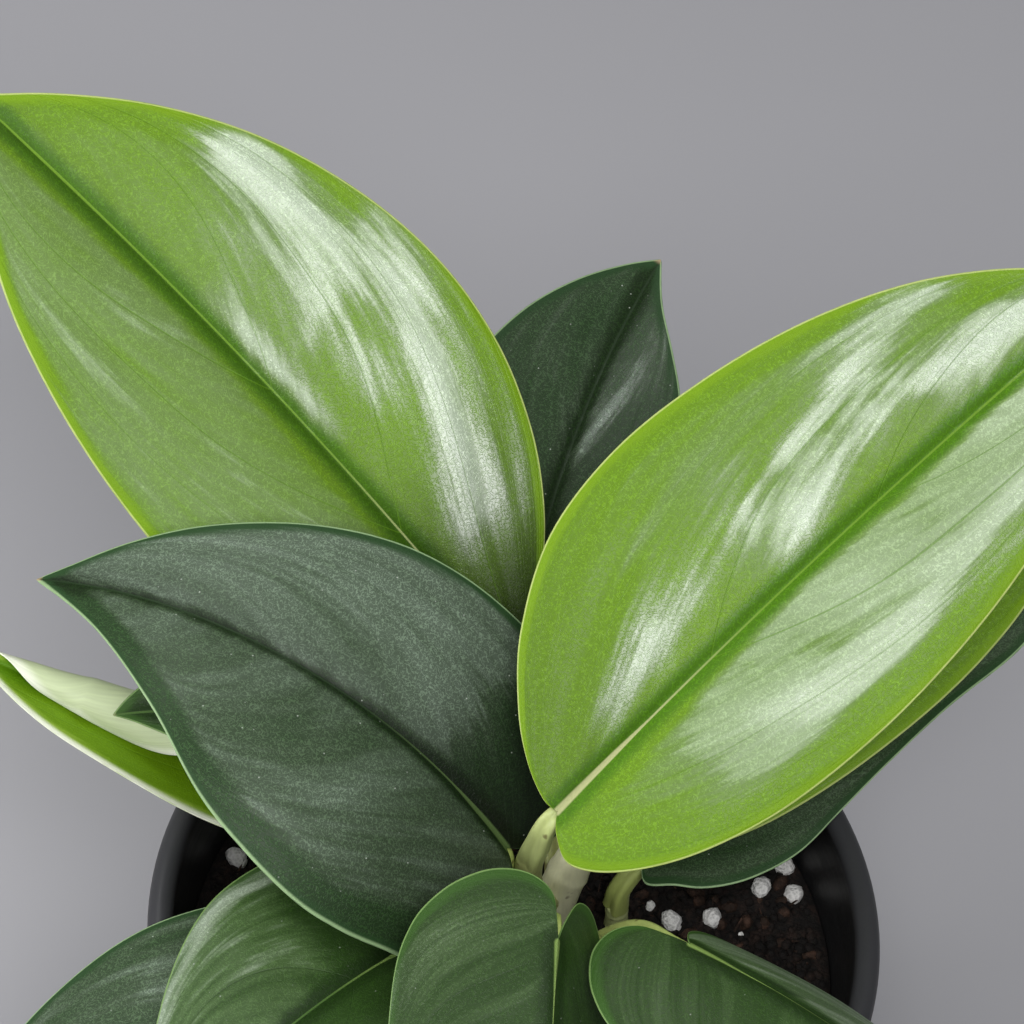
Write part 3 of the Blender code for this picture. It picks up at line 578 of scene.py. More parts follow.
def finish_fields(leaf, side, fields):
    """How the overlay, the painted highlight streaks, gloss and painted shading lie on one half of a blade,
    each from 0 to about 1.
    """
    along, rib_mm, edge_mm = fields["along"], fields["rib_mm"], fields["edge_mm"]
    # Painted highlight streaks, silver-white in the colour and glossier, along given side veins
    sheen = np.zeros_like(along)
    for reach_mm, strength, points in leaf.sheen[side]:
        middle = np.interp(along, *zip(*points))
        ends = np.clip((along - points[0][0]) / 0.08, 0, 1) * np.clip((points[-1][0] - along) / 0.08, 0, 1)
        away = (fields["vein"] - middle) * fields["vein_mm"] / reach_mm
        sheen = np.maximum(sheen, strength * ends * np.exp(-away**2))
    band = np.interp(along, (0.0, 0.35), leaf.band[side])
    hem = leaf.hem[side]
    silver = leaf.silver[side] * np.clip((rib_mm - band + 1.0) / 3.0, 0, 1) * np.clip(
        (edge_mm - hem + 0.8) / (1.2 + 0.7 * hem), 0, 1) * np.clip((along - leaf.bare[side]) / 0.28, 0, 1)
    gloss = leaf.gloss[side] * np.clip((rib_mm - band / 2) / 1.2, 0, 1) * np.clip(edge_mm / 2 - 0.2, 0.3, 1)
    # Painted shadow of the overlapping blades: the green darker towards the stalk
    shade = leaf.shade[side] + (1 - leaf.shade[side]) * np.clip((along - 0.04) / 0.28, 0, 1)
    # Painted shading in the fold along the midrib
    shade = shade * (1 - leaf.midrib_painted_shade[side] * np.exp(-rib_mm / 4.0))
    # The painted highlight streaks always show the silver overlay
    silver = np.maximum(silver, np.minimum(sheen, 1))
    bright = np.full_like(along, leaf.bright[side])
    return {"silver": silver, "bright": bright, "sheen": sheen, "gloss": gloss, "shade": shade}


def joined(left, right):
    """The grids of both halves as one, from the left margin over the midrib to the right one."""
    return np.concatenate([left[:, :0:-1], right], axis=1)


def blade_mesh(name, leaf, settings):
    """A closed blade of rings, one a row: upper face, rounded margin, lower face and rounded margin."""
    halves = [half_blade(leaf, side, settings) for side in (0, 1)]
    top, normal, thick = (joined(*grids) for grids in list(zip(*halves))[:3])
    fields = {key: joined(halves[0][3][key], halves[1][3][key]) for key in halves[0][3]}
    outward = np.stack([top[:, 0] - top[:, 1], top[:, -1] - top[:, -2]], axis=1)
    outward /= np.maximum(np.linalg.norm(outward, axis=-1, keepdims=True), 1e-9)
    outward[[0, -1]] = 0
    bottom = top - normal * thick[..., None]
    arcs = []
    for end, column in ((1, -1), (0, 0)):
        radius = thick[:, column] / 2
        middle = (top[:, column] + bottom[:, column]) / 2
        arcs.append(np.stack([
            middle + (normal[:, column] * math.cos(a) + outward[:, end] * math.sin(a)) * radius[:, None]
            for a in np.linspace(0, math.pi, MARGIN_ARC + 2)[1:-1]], axis=1))
    ring = np.concatenate([top, arcs[0], bottom[:, ::-1], arcs[1][:, ::-1]], axis=1)
    columns = top.shape[1]
    around = ring.shape[1]
    rows, places = np.meshgrid(np.arange(ring.shape[0] - 1), np.arange(around), indexing="ij")
    after = (places + 1) % around
    faces = np.stack([rows * around + places, rows * around + after,
                      (rows + 1) * around + after, (rows + 1) * around + places], -1).reshape(-1, 4)
    # Material 0 is the upper face, 1 the lower one and 2 the margin
    kinds = np.where(places < columns - 1, 0, 2)
    kinds = np.where((places >= columns + MARGIN_ARC) & (places < 2 * columns + MARGIN_ARC - 1), 1, kinds)
    mesh = bpy.data.meshes.new(name)
    mesh.from_pydata(ring.reshape(-1, 3).tolist(), [], faces.tolist())
    mesh.polygons.foreach_set("material_index", kinds.reshape(-1).astype(np.int32))
    for key, grid in fields.items():
        rims = [np.repeat(grid[:, [column]], MARGIN_ARC, axis=1) for column in (-1, 0)]
        spread = np.concatenate([grid, rims[0], grid[:, ::-1], rims[1]], axis=1)
        layer = mesh.attributes.new(key, "FLOAT", "POINT")
        layer.data.foreach_set("value", spread.reshape(-1).astype(np.float32))
    work = bmesh.new()
    work.from_mesh(mesh)
    return write_closed(work, mesh, merge=2e-6)


def blade_noise(tree, read, place):
    """Noise that runs along the side veins, and grit. Relief and streaks fade where the veins crowd."""
    flow = node(tree, "ShaderNodeCombineXYZ", (read["vein"], read["along"]))
    shift = node(tree, "ShaderNodeVectorMath", (place, (9.0, 9.0, 9.0)), operation="MULTIPLY")
    wide = node(tree, "ShaderNodeVectorMath", (flow, BLOTCHES, shift), operation="MULTIPLY_ADD")
    soft = node(tree, "ShaderNodeVectorMath", (flow, STRIPES), operation="MULTIPLY")
    fine = node(tree, "ShaderNodeVectorMath", (flow, STREAKS), operation="MULTIPLY")
    noise = {}
    for name, vector, scale, detail, roughness in (
            ("wander", wide, 0.6, 0.0, 0.5), ("spot", wide, 1.0, 4.0, 0.5), ("broad", wide, 0.9, 1.0, 0.5),
            ("stripe", soft, 1.0, 2.0, 0.5), ("streak", fine, 1.0, 4.0, 0.6),
            ("grit", place, 330.0, 2.0, 0.5)):
        noise[name] = node(tree, "ShaderNodeTexNoise", {
            "Vector": vector, "Scale": scale, "Detail": detail, "Roughness": roughness})
    for name in ("spot", "stripe", "streak"):
        noise[name] = node(tree, "ShaderNodeMath", (noise[name], 0.5), operation="SUBTRACT")
    for name, rate in (("broad", 0.4), ("stripe", 0.4), ("streak", 0.3)):
        room = node(tree, "ShaderNodeMath", (read["vein_mm"], rate), operation="MULTIPLY", use_clamp=True)
        noise[name] = node(tree, "ShaderNodeMath", (noise[name], room), operation="MULTIPLY")
    return noise


def blade_masks(tree, read, noise):
    """Where each layer of the finish lies: a field, made uneven by spots and streaks, between two limits."""
    masks = {}
    # Two of these are the painted highlight streaks and their whiter middle
    for name, field, spots, streaks, low, high in (
            ("bloom", "silver", 1.5, 0.8, 0.3, 1.0), ("sheen", "sheen", 1.8, 1.3, 0.10, 1.1),
            ("painted_highlight_core", "sheen", 1.6, 0.0, 0.7, 1.3), ("near_rib", "rib_mm", 0.0, 0.0, 4.5, 0.5),
            ("margin", "edge_mm", 2.5, 3.0, 1.9, 0.4), ("pale_line", "pale", 0.0, 0.0, 1.0, 0.2),
            ("rib", "rib", 0.0, 0.0, 1.3, 0.6), ("rib_green", "along", 0.0, 0.0, 0.10, 0.40),
            ("tip", "along", 0.0, 0.0, 0.985, 0.999)):
        value = weighted(tree, read[field], (noise["spot"], spots), (noise["streak"], streaks))
        masks[name] = node(tree, "ShaderNodeMapRange", (value, low, high), interpolation_type="SMOOTHSTEP")
    return masks


def side_veins(tree, read, wander, apart, width):
    """Lines along the side veins, so many veins apart and so many millimetres wide, some of them fainter."""
    jitter = weighted(tree, read["vein"], (wander, 1.6))
    turn = node(tree, "ShaderNodeMath", (jitter, apart), operation="DIVIDE")
    middle = node(tree, "ShaderNodeMath", (jitter, apart / 2), operation="ADD")
    away = node(tree, "ShaderNodeMath", (middle, apart / 2), operation="PINGPONG")
    away = node(tree, "ShaderNodeMath", (away, read["vein_mm"]), operation="MULTIPLY")
    line = node(tree, "ShaderNodeMapRange", (away, width, width / 4), interpolation_type="SMOOTHSTEP")
    number = node(tree, "ShaderNodeMath", (turn,), operation="FLOOR")
    chance = node(tree, "ShaderNodeTexWhiteNoise", {"W": number}, noise_dimensions="1D")
    chance = node(tree, "ShaderNodeMapRange", (chance, 0.1, 0.9), interpolation_type="SMOOTHSTEP")
    return node(tree, "ShaderNodeMath", (line, chance), operation="MULTIPLY")


def blade_top(name, finish):
    """Leaf cuticle over green tissue: veined and waxy, with a silver bloom whose cells draw fine lines,
    painted highlight streaks and painted shading.
    """
    material, tree = new_material(name)
    read = {key: node(tree, "ShaderNodeAttribute", out="Fac", attribute_name=key)
            for key in ("along", "vein", "vein_mm", "rib_mm", "rib", "edge_mm", "pale", "silver", "bright",
                        "sheen", "gloss", "shade")}
    place = node(tree, "ShaderNodeTexCoord", out="Object")
    noise = blade_noise(tree, read, place)
    masks = blade_masks(tree, read, noise)
    spot, streak = noise["spot"], noise["streak"]

    # The bloom turns the green hazy and then silver; the painted highlight streaks are silver-white, whitest
    # in their middle
    light = weighted(tree, read["bright"], (spot, 0.6), (read["sheen"], 0.4),
                     (noise["stripe"], 2.4 * finish.stripe), (streak, 0.3))
    light = node(tree, "ShaderNodeMix", {0: masks["sheen"], 2: light, 3: 1.0})
    veil = node(tree, "ShaderNodeMath", (masks["bloom"], light), operation="MULTIPLY", use_clamp=True)
    haze = node(tree, "ShaderNodeMath", (veil, 2.0), operation="MULTIPLY", use_clamp=True)
    silver = node(tree, "ShaderNodeMath", (veil, 2.0, -1.0), operation="MULTIPLY_ADD", use_clamp=True)
    lush = weighted(tree, masks["near_rib"], (spot, 0.8))
    lush = node(tree, "ShaderNodeMapRange", (lush, 0.1, 0.9), interpolation_type="SMOOTHSTEP")
    colour = layered(tree, finish.body, (lush, finish.green), (haze, finish.haze), (silver, finish.silver),
                     (masks["painted_highlight_core"], "#dbe7d8", 0.32))
    # Cell lines of the bloom. The real ones are a third as far apart, too fine for these pictures
    cells = node(tree, "ShaderNodeTexNoise", {
        "Vector": place, "Scale": 2000.0, "Detail": 0.0, "Distortion": 0.6})
    cells = node(tree, "ShaderNodeMath", (cells, 0.5), operation="PINGPONG")
    worm = node(tree, "ShaderNodeMapRange", (cells, 0.4, 0.5), interpolation_type="SMOOTHSTEP")
    # The smallest veins, a pale net
    net = node(tree, "ShaderNodeTexVoronoi", {"Vector": place, "Scale": 520.0}, feature="DISTANCE_TO_EDGE")
    net = node(tree, "ShaderNodeMapRange", (net, 0.09, 0.01), interpolation_type="SMOOTHSTEP")
    tint = weighted(tree, 1 - 0.4 * finish.grain, (worm, finish.grain), (net, finish.net), (streak, 0.2))
    # Painted shading darkens the colour towards the stalk and along the midrib
    tint = node(tree, "ShaderNodeMath", (tint, read["shade"]), operation="MULTIPLY")
    colour = node(tree, "ShaderNodeVectorMath", {0: colour, "Scale": tint}, operation="SCALE")
    # A few main side veins, and many faint ones between them
    main_veins = side_veins(tree, read, noise["wander"], 1.7, 0.15)
    faint_veins = side_veins(tree, read, noise["wander"], 0.55, 0.10)
    # Specks of dust and dried wax, on some of the cells of a coarse pattern
    flake = node(tree, "ShaderNodeTexVoronoi", {"Vector": place, "Scale": 620.0})
    chance = node(tree, "ShaderNodeSeparateXYZ", (flake.node.outputs["Color"],))
    flake = node(tree, "ShaderNodeMapRange", (flake, 0.11, 0.04), interpolation_type="SMOOTHSTEP")
    chance = node(tree, "ShaderNodeMapRange", (chance, 0.72, 0.95), interpolation_type="SMOOTHSTEP")
    fleck = node(tree, "ShaderNodeMath", (flake, chance), operation="MULTIPLY")
    # A painted highlight streak that reaches the margin hides its band
    clear = node(tree, "ShaderNodeMath", (read["sheen"], -0.8, 1.0), operation="MULTIPLY_ADD", use_clamp=True)
    rib_colour = layered(tree, finish.rib_base, (masks["rib_green"], finish.rib))
    colour = layered(
        tree, colour, (main_veins, finish.vein, finish.veins), (faint_veins, finish.vein, 0.12),
        (fleck, "#c9d0c4", finish.dust), (masks["margin"], finish.margin, clear),
        (masks["pale_line"], finish.edge), (masks["rib"], rib_colour), (masks["tip"], finish.tip))

    # The painted highlight streaks are also glossier than the bloom
    satin = node(tree, "ShaderNodeMath", (read["gloss"], 0.5), operation="MULTIPLY")
    shine = node(tree, "ShaderNodeMix", {0: masks["sheen"], 2: satin, 3: 1.0})
    rough = node(tree, "ShaderNodeMapRange", (shine, 0.0, 1.0, finish.roughness + 0.18, finish.roughness))
    rough = weighted(tree, rough, (streak, -0.15))
    wax = node(tree, "ShaderNodeMath", (shine, finish.wax), operation="MULTIPLY")
    height = weighted(
        tree, 0.0, (streak, 0.02 * MM), (noise["broad"], finish.swell * MM),
        (noise["stripe"], 0.3 * finish.stripe * MM), (main_veins, -0.07 * finish.veins * MM),
        (faint_veins, -0.010 * MM), (worm, 0.024 * MM), (noise["grit"], 0.07 * MM))
    close_material(tree, {
        "Base Color": colour, "Roughness": rough, "IOR": 1.45, "Specular IOR Level": 0.3, "Coat Weight": wax,
        "Coat Roughness": 0.26, "Coat IOR": 1.6}, height)
    return material


def blade_under(name, finish):
    """The matt, paler lower face, with its veins standing out a little."""
    material, tree = new_material(name)
    along, vein, rib_mm, edge_mm = (node(tree, "ShaderNodeAttribute", out="Fac", attribute_name=key)
                                    for key in ("along", "vein", "rib_mm", "edge_mm"))
    flow = node(tree, "ShaderNodeCombineXYZ", (vein, along))
    fine = node(tree, "ShaderNodeVectorMath", (flow, STREAKS), operation="MULTIPLY")
    streak = node(tree, "ShaderNodeTexNoise", {"Vector": fine, "Scale": 1.0, "Detail": 4.0})
    tint = node(tree, "ShaderNodeMapRange", (streak, 0.3, 0.7, 0.92, 1.08))
    rib = node(tree, "ShaderNodeMapRange", (rib_mm, 2.0, 0.8), interpolation_type="SMOOTHSTEP")
    rim = node(tree, "ShaderNodeMapRange", (edge_mm, 1.6, 0.3), interpolation_type="SMOOTHSTEP")
    colour = layered(tree, finish.under, (rib, finish.rib_base), (rim, finish.edge))
    colour = node(tree, "ShaderNodeVectorMath", {0: colour, "Scale": tint}, operation="SCALE")
    close_material(tree, {"Base Color": colour, "Roughness": 0.52, "IOR": 1.45},
                   weighted(tree, 0.0, (streak, 0.08 * MM)))
    return material


def blade_edge(name, finish):
    """The thin clear rind along the margin, paler than the blade."""
    material, tree = new_material(name)
    place = node(tree, "ShaderNodeTexCoord", out="Object")
    noise = node(tree, "ShaderNodeTexNoise", {"Vector": place, "Scale": 260.0, "Detail": 2.0})
    share = node(tree, "ShaderNodeMapRange", (noise, 0.45, 0.7, 0.0, 0.5))
    colour = layered(tree, finish.edge, (share, finish.margin))
    close_material(tree, {"Base Color": colour, "Roughness": 0.4, "IOR": 1.45})
    return material


# Stems

def smooth_path(points, count):
    """Points spread along a smooth curve through the given ones, which may lie unevenly far apart."""
    given = np.array(points, float)
    stops = np.append(0.0, np.cumsum(np.linalg.norm(np.diff(given, axis=0), axis=1)))
    slopes = np.gradient(given, stops, axis=0)
    result = []
    for share in np.linspace(0, len(given) - 1, count):
        index = min(int(share), len(given) - 2)
        t = share - index
        span = stops[index + 1] - stops[index]
        result.append((1 + 2 * t) * (1 - t)**2 * given[index] + t * (1 - t)**2 * span * slopes[index]
                      + t**2 * (3 - 2 * t) * given[index + 1] - t**2 * (1 - t) * span * slopes[index + 1])
    return np.array(result)


def stalk_end(leaf):
    """The last points of a stalk, which runs in under the midrib and joins the blade's lower face."""
    along = np.array([0.0, 3.0, 8.0]) * MM / leaf.length
    depth = np.array([2.4, 2.1, 1.5])[:, None] * MM
    forward, up, right = directions(leaf, along)
    left_fold, right_fold = (ease(0.0, half) for half in leaf.fold)
    lean = math.radians(right_fold - left_fold) / 2
    points = midrib(leaf, along) + (right * math.sin(lean) - up * math.cos(lean)) * depth
    return [tuple(points[0] - forward[0] * 1.5 * MM), *[tuple(point) for point in points]]


def tube_rings(path, radii, sides, facing, groove):
    """Rings of a tube. A groove runs along the side that faces the given way, with a wing at each lip."""
    forward = np.gradient(path, axis=0)
    forward /= np.linalg.norm(forward, axis=1, keepdims=True)
    angle = np.linspace(0, 2 * math.pi, sides, endpoint=False)
    off = np.minimum(angle, 2 * math.pi - angle)
    shape = 1 - groove * np.exp(-(off / 0.42) ** 2) + 0.45 * groove * np.exp(-((off - 0.85) / 0.22) ** 2)
    rings = []
    for point, ahead, radius in zip(path, forward, radii):
        across = np.cross(ahead, facing)
        across /= np.linalg.norm(across)
        front = np.cross(across, ahead)
        rings.append(point + (front * np.cos(angle)[:, None] + across * np.sin(angle)[:, None])
                     * (radius * shape)[:, None])
    return np.array(rings)


def add_tube(work, rings, tone):
    """Adds a closed tube of rings to a bmesh, with its tone and how far along it each ring lies."""
    layers = [work.verts.layers.float.get(key) or work.verts.layers.float.new(key) for key in ("tone", "run")]
    made = []
    for ring, run in zip(rings, np.linspace(0, 1, len(rings))):
        made.append([work.verts.new(point) for point in ring])
        for vertex in made[-1]:
            vertex[layers[0]] = tone
            vertex[layers[1]] = float(run)
    for first, second in zip(made, made[1:]):
        for i, vertex in enumerate(first):
            follow = (i + 1) % len(first)
            work.faces.new((vertex, first[follow], second[follow], second[i]))
    work.faces.new(made[0][::-1])
    work.faces.new(made[-1])


def make_stem(name, stem, material):
    """A stem with its ringed nodes, and its channelled stalks, which swell where they leave it."""
    work = bmesh.new()
    share = np.linspace(0, 1, STEM_RINGS)
    radii = stem.radius * (1 - 0.2 * share)
    for joint in (0.45, 0.8):
        radii = radii * (1 + 0.07 * np.exp(-((share - joint) / 0.03) ** 2))
    radii[-4:] *= np.array([0.99, 0.93, 0.78, 0.45])
    path = smooth_path(stem.points, STEM_RINGS)
    add_tube(work, tube_rings(path, radii, STEM_SIDES, np.array((0.0, -0.6, 0.8)), groove=0.0), stem.pale)
    for leaf_name, points in stem.stalks.items():
        leaf = LEAVES[leaf_name]
        path = smooth_path([*points, *stalk_end(leaf)], STALK_RINGS)
        stops = [*np.linspace(stem.stalk_radius * 1.15, stem.stalk_radius, len(points)), 1.7 * MM, 1.5 * MM,
                 1.1 * MM, 0.4 * MM]
        radii = np.interp(np.linspace(0, 1, STALK_RINGS), np.linspace(0, 1, len(stops)), stops)
        facing = directions(leaf, np.zeros(1))[1][0]
        add_tube(work, tube_rings(path, radii, STALK_SIDES, facing, groove=0.32), 0.35 * stem.pale)
    mesh = write_closed(work, bpy.data.meshes.new(name))
    obj = new_object(f"{name}_tissue", mesh, [material])
    mesh.set_sharp_from_angle(angle=math.radians(60))
    ride(obj, "stem_tissue", name)


def stem_tissue():
    """Smooth juicy stem skin: whitish green below, yellow-green above, with brown scars and fine ribs."""
    material, tree = new_material("stem_tissue")
    tone, run = (node(tree, "ShaderNodeAttribute", out="Fac", attribute_name=key) for key in ("tone", "run"))
    place = node(tree, "ShaderNodeTexCoord", out="Object")
    long = node(tree, "ShaderNodeVectorMath", (place, (900.0, 900.0, 90.0)), operation="MULTIPLY")
    fibre = node(tree, "ShaderNodeTexNoise", {"Vector": long, "Scale": 1.0, "Detail": 3.0})
    tint = node(tree, "ShaderNodeMapRange", (fibre, 0.3, 0.7, 0.9, 1.1))
    colour = layered(tree, "#b0c45c", (tone, "#e0deb8"))
    colour = node(tree, "ShaderNodeVectorMath", {0: colour, "Scale": tint}, operation="SCALE")
    spots = node(tree, "ShaderNodeTexNoise", {"Vector": place, "Scale": 330.0, "Detail": 2.0})
    scar = node(tree, "ShaderNodeMapRange", (spots, 0.66, 0.74), interpolation_type="SMOOTHSTEP")
    foot = node(tree, "ShaderNodeMapRange", (run, 0.42, 0.30), interpolation_type="SMOOTHSTEP")
    colour = layered(tree, colour, (scar, "#54401f", 0.75), (foot, "#7d6b3c", tone))
    close_material(tree, {"Base Color": colour, "Roughness": 0.42, "IOR": 1.45},
                   weighted(tree, 0.0, (fibre, 0.08 * MM)))
    return material


# Pot

def wall_radius(height):
    """Outer radius of the pot's tapered wall."""
    return FOOT_RADIUS + (RIM_RADIUS - RIM_WIDTH - FOOT_RADIUS) * height / (POT_HEIGHT - RIM_DEPTH)


def turned(name, profile):
    """A plain mesh turned about Z from (radius, height) points that run down its outer side."""
    mesh = bpy.data.meshes.new(name)
    mesh.from_pydata([(r, 0.0, z) for r, z in profile], [(i, i + 1) for i in range(len(profile) - 1)], [])
    obj = bpy.data.objects.new(name, mesh)
    bpy.context.scene.collection.objects.link(obj)
    screw = obj.modifiers.new("Turn", "SCREW")
    screw.steps = TURNED_STEPS
    screw.render_steps = TURNED_STEPS
    screw.use_merge_vertices = True
    screw.merge_threshold = 1e-5
    result = evaluated_mesh(obj)
    bpy.data.objects.remove(obj, do_unlink=True)
    work = bmesh.new()
    work.from_mesh(result)
    return write_closed(work, result, merge=1e-6)


def pot_profile():
    """The pot's section as (radius, height): inner floor and wall, rolled lip, skirt, outer wall and foot."""
    skirt = POT_HEIGHT - RIM_DEPTH
    profile = [(0.0, FLOOR), (wall_radius(FLOOR) - WALL - 0.001, FLOOR),
               (wall_radius(FLOOR + 0.001) - WALL, FLOOR + 0.001), (wall_radius(skirt) - WALL, skirt),
               (RIM_RADIUS - RIM_WIDTH - 0.0006, POT_HEIGHT - 0.004)]
    for angle in np.radians(np.linspace(172, 0, 15)):
        profile.append((RIM_RADIUS - LIP_RADIUS * (1 - math.cos(angle)),
                        POT_HEIGHT - LIP_RADIUS * (1 - math.sin(angle))))
    return profile + [
        (RIM_RADIUS, skirt + 0.0010), (RIM_RADIUS - 0.0002, skirt + 0.0004),
        (RIM_RADIUS - 0.0006, skirt + 0.0001), (RIM_RADIUS - 0.0010, skirt),
        (wall_radius(skirt) + 0.0002, skirt), (wall_radius(skirt - 0.0005), skirt - 0.0004),
        (wall_radius(0.0012), 0.0012), (FOOT_RADIUS - 0.0004, 0.0003), (FOOT_RADIUS - 0.0012, 0.0),
        (0.0, 0.0)]


def drill_holes(pot):
    """Cuts the ring of drain holes through the pot's floor."""
    drills = bpy.data.collections.new("pot_drills")
    bpy.context.scene.collection.children.link(drills)
    for index in range(DRAIN_COUNT):
        angle = 2 * math.pi * (index + 0.5) / DRAIN_COUNT
        x, y = DRAIN_CIRCLE * math.cos(angle), DRAIN_CIRCLE * math.sin(angle)
        place = Matrix.Translation((x, y, FLOOR / 2))
        work = bmesh.new()
        bmesh.ops.create_cone(work, cap_ends=True, segments=32, radius1=DRAIN_RADIUS, radius2=DRAIN_RADIUS,
                              depth=2 * FLOOR, matrix=place)
        drill = bpy.data.meshes.new(f"drill_{index}")
        work.to_mesh(drill)
        work.free()
        drills.objects.link(bpy.data.objects.new(f"drill_{index}", drill))
    cut = pot.modifiers.new("Drain holes", "BOOLEAN")
    cut.operand_type = "COLLECTION"
    cut.collection = drills
    cut.solver = "EXACT"
    mesh = evaluated_mesh(pot)
    pot.modifiers.clear()
    pot.data = mesh
    for drill in list(drills.objects):
        bpy.data.objects.remove(drill, do_unlink=True)
    bpy.data.collections.remove(drills)


def pot_plastic(settings):
    """Black polypropylene, injection moulded: satin, with a fine orange-peel skin, scuffs, some dust and a
    painted highlight along the lip.
    """
    material, tree = new_material("pot_polypropylene")
    place = node(tree, "ShaderNodeTexCoord", out="Object")
    skin = node(tree, "ShaderNodeTexNoise", {"Vector": place, "Scale": 900.0, "Detail": 2.0})
    long = node(tree, "ShaderNodeVectorMath", (place, (60.0, 60.0, 900.0)), operation="MULTIPLY")
    scuff = node(tree, "ShaderNodeTexNoise", {"Vector": long, "Scale": 1.0, "Detail": 4.0, "Roughness": 0.65})
    worn = node(tree, "ShaderNodeMapRange", (scuff, 0.58, 0.75), interpolation_type="SMOOTHSTEP")
    dust = node(tree, "ShaderNodeTexNoise", {"Vector": place, "Scale": 520.0, "Detail": 3.0})
    dust = node(tree, "ShaderNodeMapRange", (dust, 0.66, 0.76), interpolation_type="SMOOTHSTEP")
    # The lip is painted greyer than the wall, a painted highlight along the rim's top
    level = node(tree, "ShaderNodeSeparateXYZ", (place,), out=2)
    lip = node(tree, "ShaderNodeMapRange", (level, POT_HEIGHT - 0.0025, POT_HEIGHT - 0.0002, 0.0, 0.8),
               interpolation_type="SMOOTHSTEP")
    colour = layered(tree, (*settings.pot_colour, 1.0), (worn, "#2b2b2d", 0.5), (dust, "#4a4038", 0.35),
                     (lip, "#414144"))
    gloss = node(tree, "ShaderNodeMapRange", (scuff, 0.3, 0.75, 0.36, 0.52))
    close_material(tree, {"Base Color": colour, "Roughness": gloss, "IOR": 1.49},
                   weighted(tree, 0.0, (skin, 0.02 * MM), (worn, 0.01 * MM)))
    return material


# Soil

def soil_height(x, y):
    """The soil's uneven top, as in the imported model."""
    relief = np.sin(310 * x + 1.3) * np.cos(270 * y - 0.4) + 0.6 * np.sin(560 * y + 250 * x)
    return SOIL_TOP + 0.00054 * relief


def soil_mix(name, dark, light, roughness):
    """Damp peat or bark: near-black brown, matt and crumbly, with paler fibres in it."""
    material, tree = new_material(name)
    place = node(tree, "ShaderNodeTexCoord", out="Object")
    coarse = node(tree, "ShaderNodeTexNoise", {
        "Vector": place, "Scale": 380.0, "Detail": 5.0, "Roughness": 0.7})
    share = node(tree, "ShaderNodeMapRange", (coarse, 0.42, 0.72), interpolation_type="SMOOTHSTEP")
    grit = node(tree, "ShaderNodeTexNoise", {"Vector": place, "Scale": 1500.0, "Detail": 3.0})
    colour = layered(tree, dark, (share, light))
    close_material(tree, {"Base Color": colour, "Roughness": roughness, "IOR": 1.4},
                   weighted(tree, 0.0, (grit, 0.25 * MM), (coarse, 0.6 * MM)))
    return material


def perlite():
    """Expanded volcanic glass: chalk white, foamy, with grey pores."""
    material, tree = new_material("perlite")
    place = node(tree, "ShaderNodeTexCoord", out="Object")
    foam = node(tree, "ShaderNodeTexVoronoi", {"Vector": place, "Scale": 1600.0})
    pores = node(tree, "ShaderNodeMapRange", (foam, 0.0, 0.6, 0.7, 1.0))
    colour = node(tree, "ShaderNodeVectorMath", {0: linear("#efedea")[:3], "Scale": pores}, operation="SCALE")
    close_material(tree, {"Base Color": colour, "Roughness": 0.85, "IOR": 1.5},
                   weighted(tree, 0.0, (foam, 0.25 * MM)))
    return material


def scatter_tree(name, at_points):
    """A Geometry Nodes tree that lays small rough solids over a bed's faces, or one at each of its points.

    Its inputs are how many lie on a square metre, their size, how long they are for their width, and a seed.
    At points, the size is times the bed's own size attribute, and the solids lie flatter and are rounder.
    """
    tree = bpy.data.node_groups.new(name, "GeometryNodeTree")
    face = tree.interface
    face.new_socket("Geometry", in_out="INPUT", socket_type="NodeSocketGeometry")
    sockets = {}
    for label, kind, default in (
            ("Density", "Float", 1000.0), ("Size", "Float", 0.001), ("Length", "Float", 1.0),
            ("Seed", "Int", 1), ("Material", "Material", None)):
        socket = face.new_socket(label, in_out="INPUT", socket_type=f"NodeSocket{kind}")
        if default is not None:
            socket.default_value = default
        sockets[label] = socket.identifier
    face.new_socket("Geometry", in_out="OUTPUT", socket_type="NodeSocketGeometry")
    group = tree.nodes.new("NodeGroupInput").outputs
    if at_points:
        points = node(tree, "GeometryNodeMeshToPoints", {"Mesh": group["Geometry"]})
        spread = node(tree, "GeometryNodeInputNamedAttribute", {"Name": "size"}, data_type="FLOAT")
        turns, levels = (0.5, 0.5, 2 * math.pi), 3
    else:
        points = node(tree, "GeometryNodeDistributePointsOnFaces", {
            "Mesh": group["Geometry"], "Density": group["Density"], "Seed": group["Seed"]})
        spread = node(tree, "FunctionNodeRandomValue", {2: 0.45, 3: 1.5, "Seed": group["Seed"]}, out=1)
        turns, levels = (6.3, 6.3, 6.3), 1
    blob = node(tree, "GeometryNodeMeshIcoSphere", {"Radius": 1.0, "Subdivisions": levels})
    where = node(tree, "GeometryNodeInputPosition")
    rough = node(tree, "ShaderNodeTexNoise", {"Vector": where, "Scale": 1.3, "Detail": 2.0}, out=1)
    rough = node(tree, "ShaderNodeVectorMath", (rough, (0.5, 0.5, 0.5)), operation="SUBTRACT")
    rough = node(tree, "ShaderNodeVectorMath", (rough, (0.7, 0.7, 0.7)), operation="MULTIPLY")
    blob = node(tree, "GeometryNodeSetPosition", {"Geometry": blob, "Offset": rough})
    turn = node(tree, "FunctionNodeRandomValue", {0: (0.0, 0.0, 0.0), 1: turns, "Seed": group["Seed"]},
                data_type="FLOAT_VECTOR")
    size = node(tree, "ShaderNodeMath", (spread, group["Size"]), operation="MULTIPLY")
    length = node(tree, "ShaderNodeMath", (size, group["Length"]), operation="MULTIPLY")
    scale = node(tree, "ShaderNodeCombineXYZ", (length, size, size))
    copies = node(tree, "GeometryNodeInstanceOnPoints", {
        "Points": points, "Instance": blob, "Rotation": turn, "Scale": scale})
    real = node(tree, "GeometryNodeRealizeInstances", {"Geometry": copies})
    done = node(tree, "GeometryNodeSetMaterial", {"Geometry": real, "Material": group["Material"]})
    node(tree, "NodeGroupOutput", (done,))
    return tree, sockets


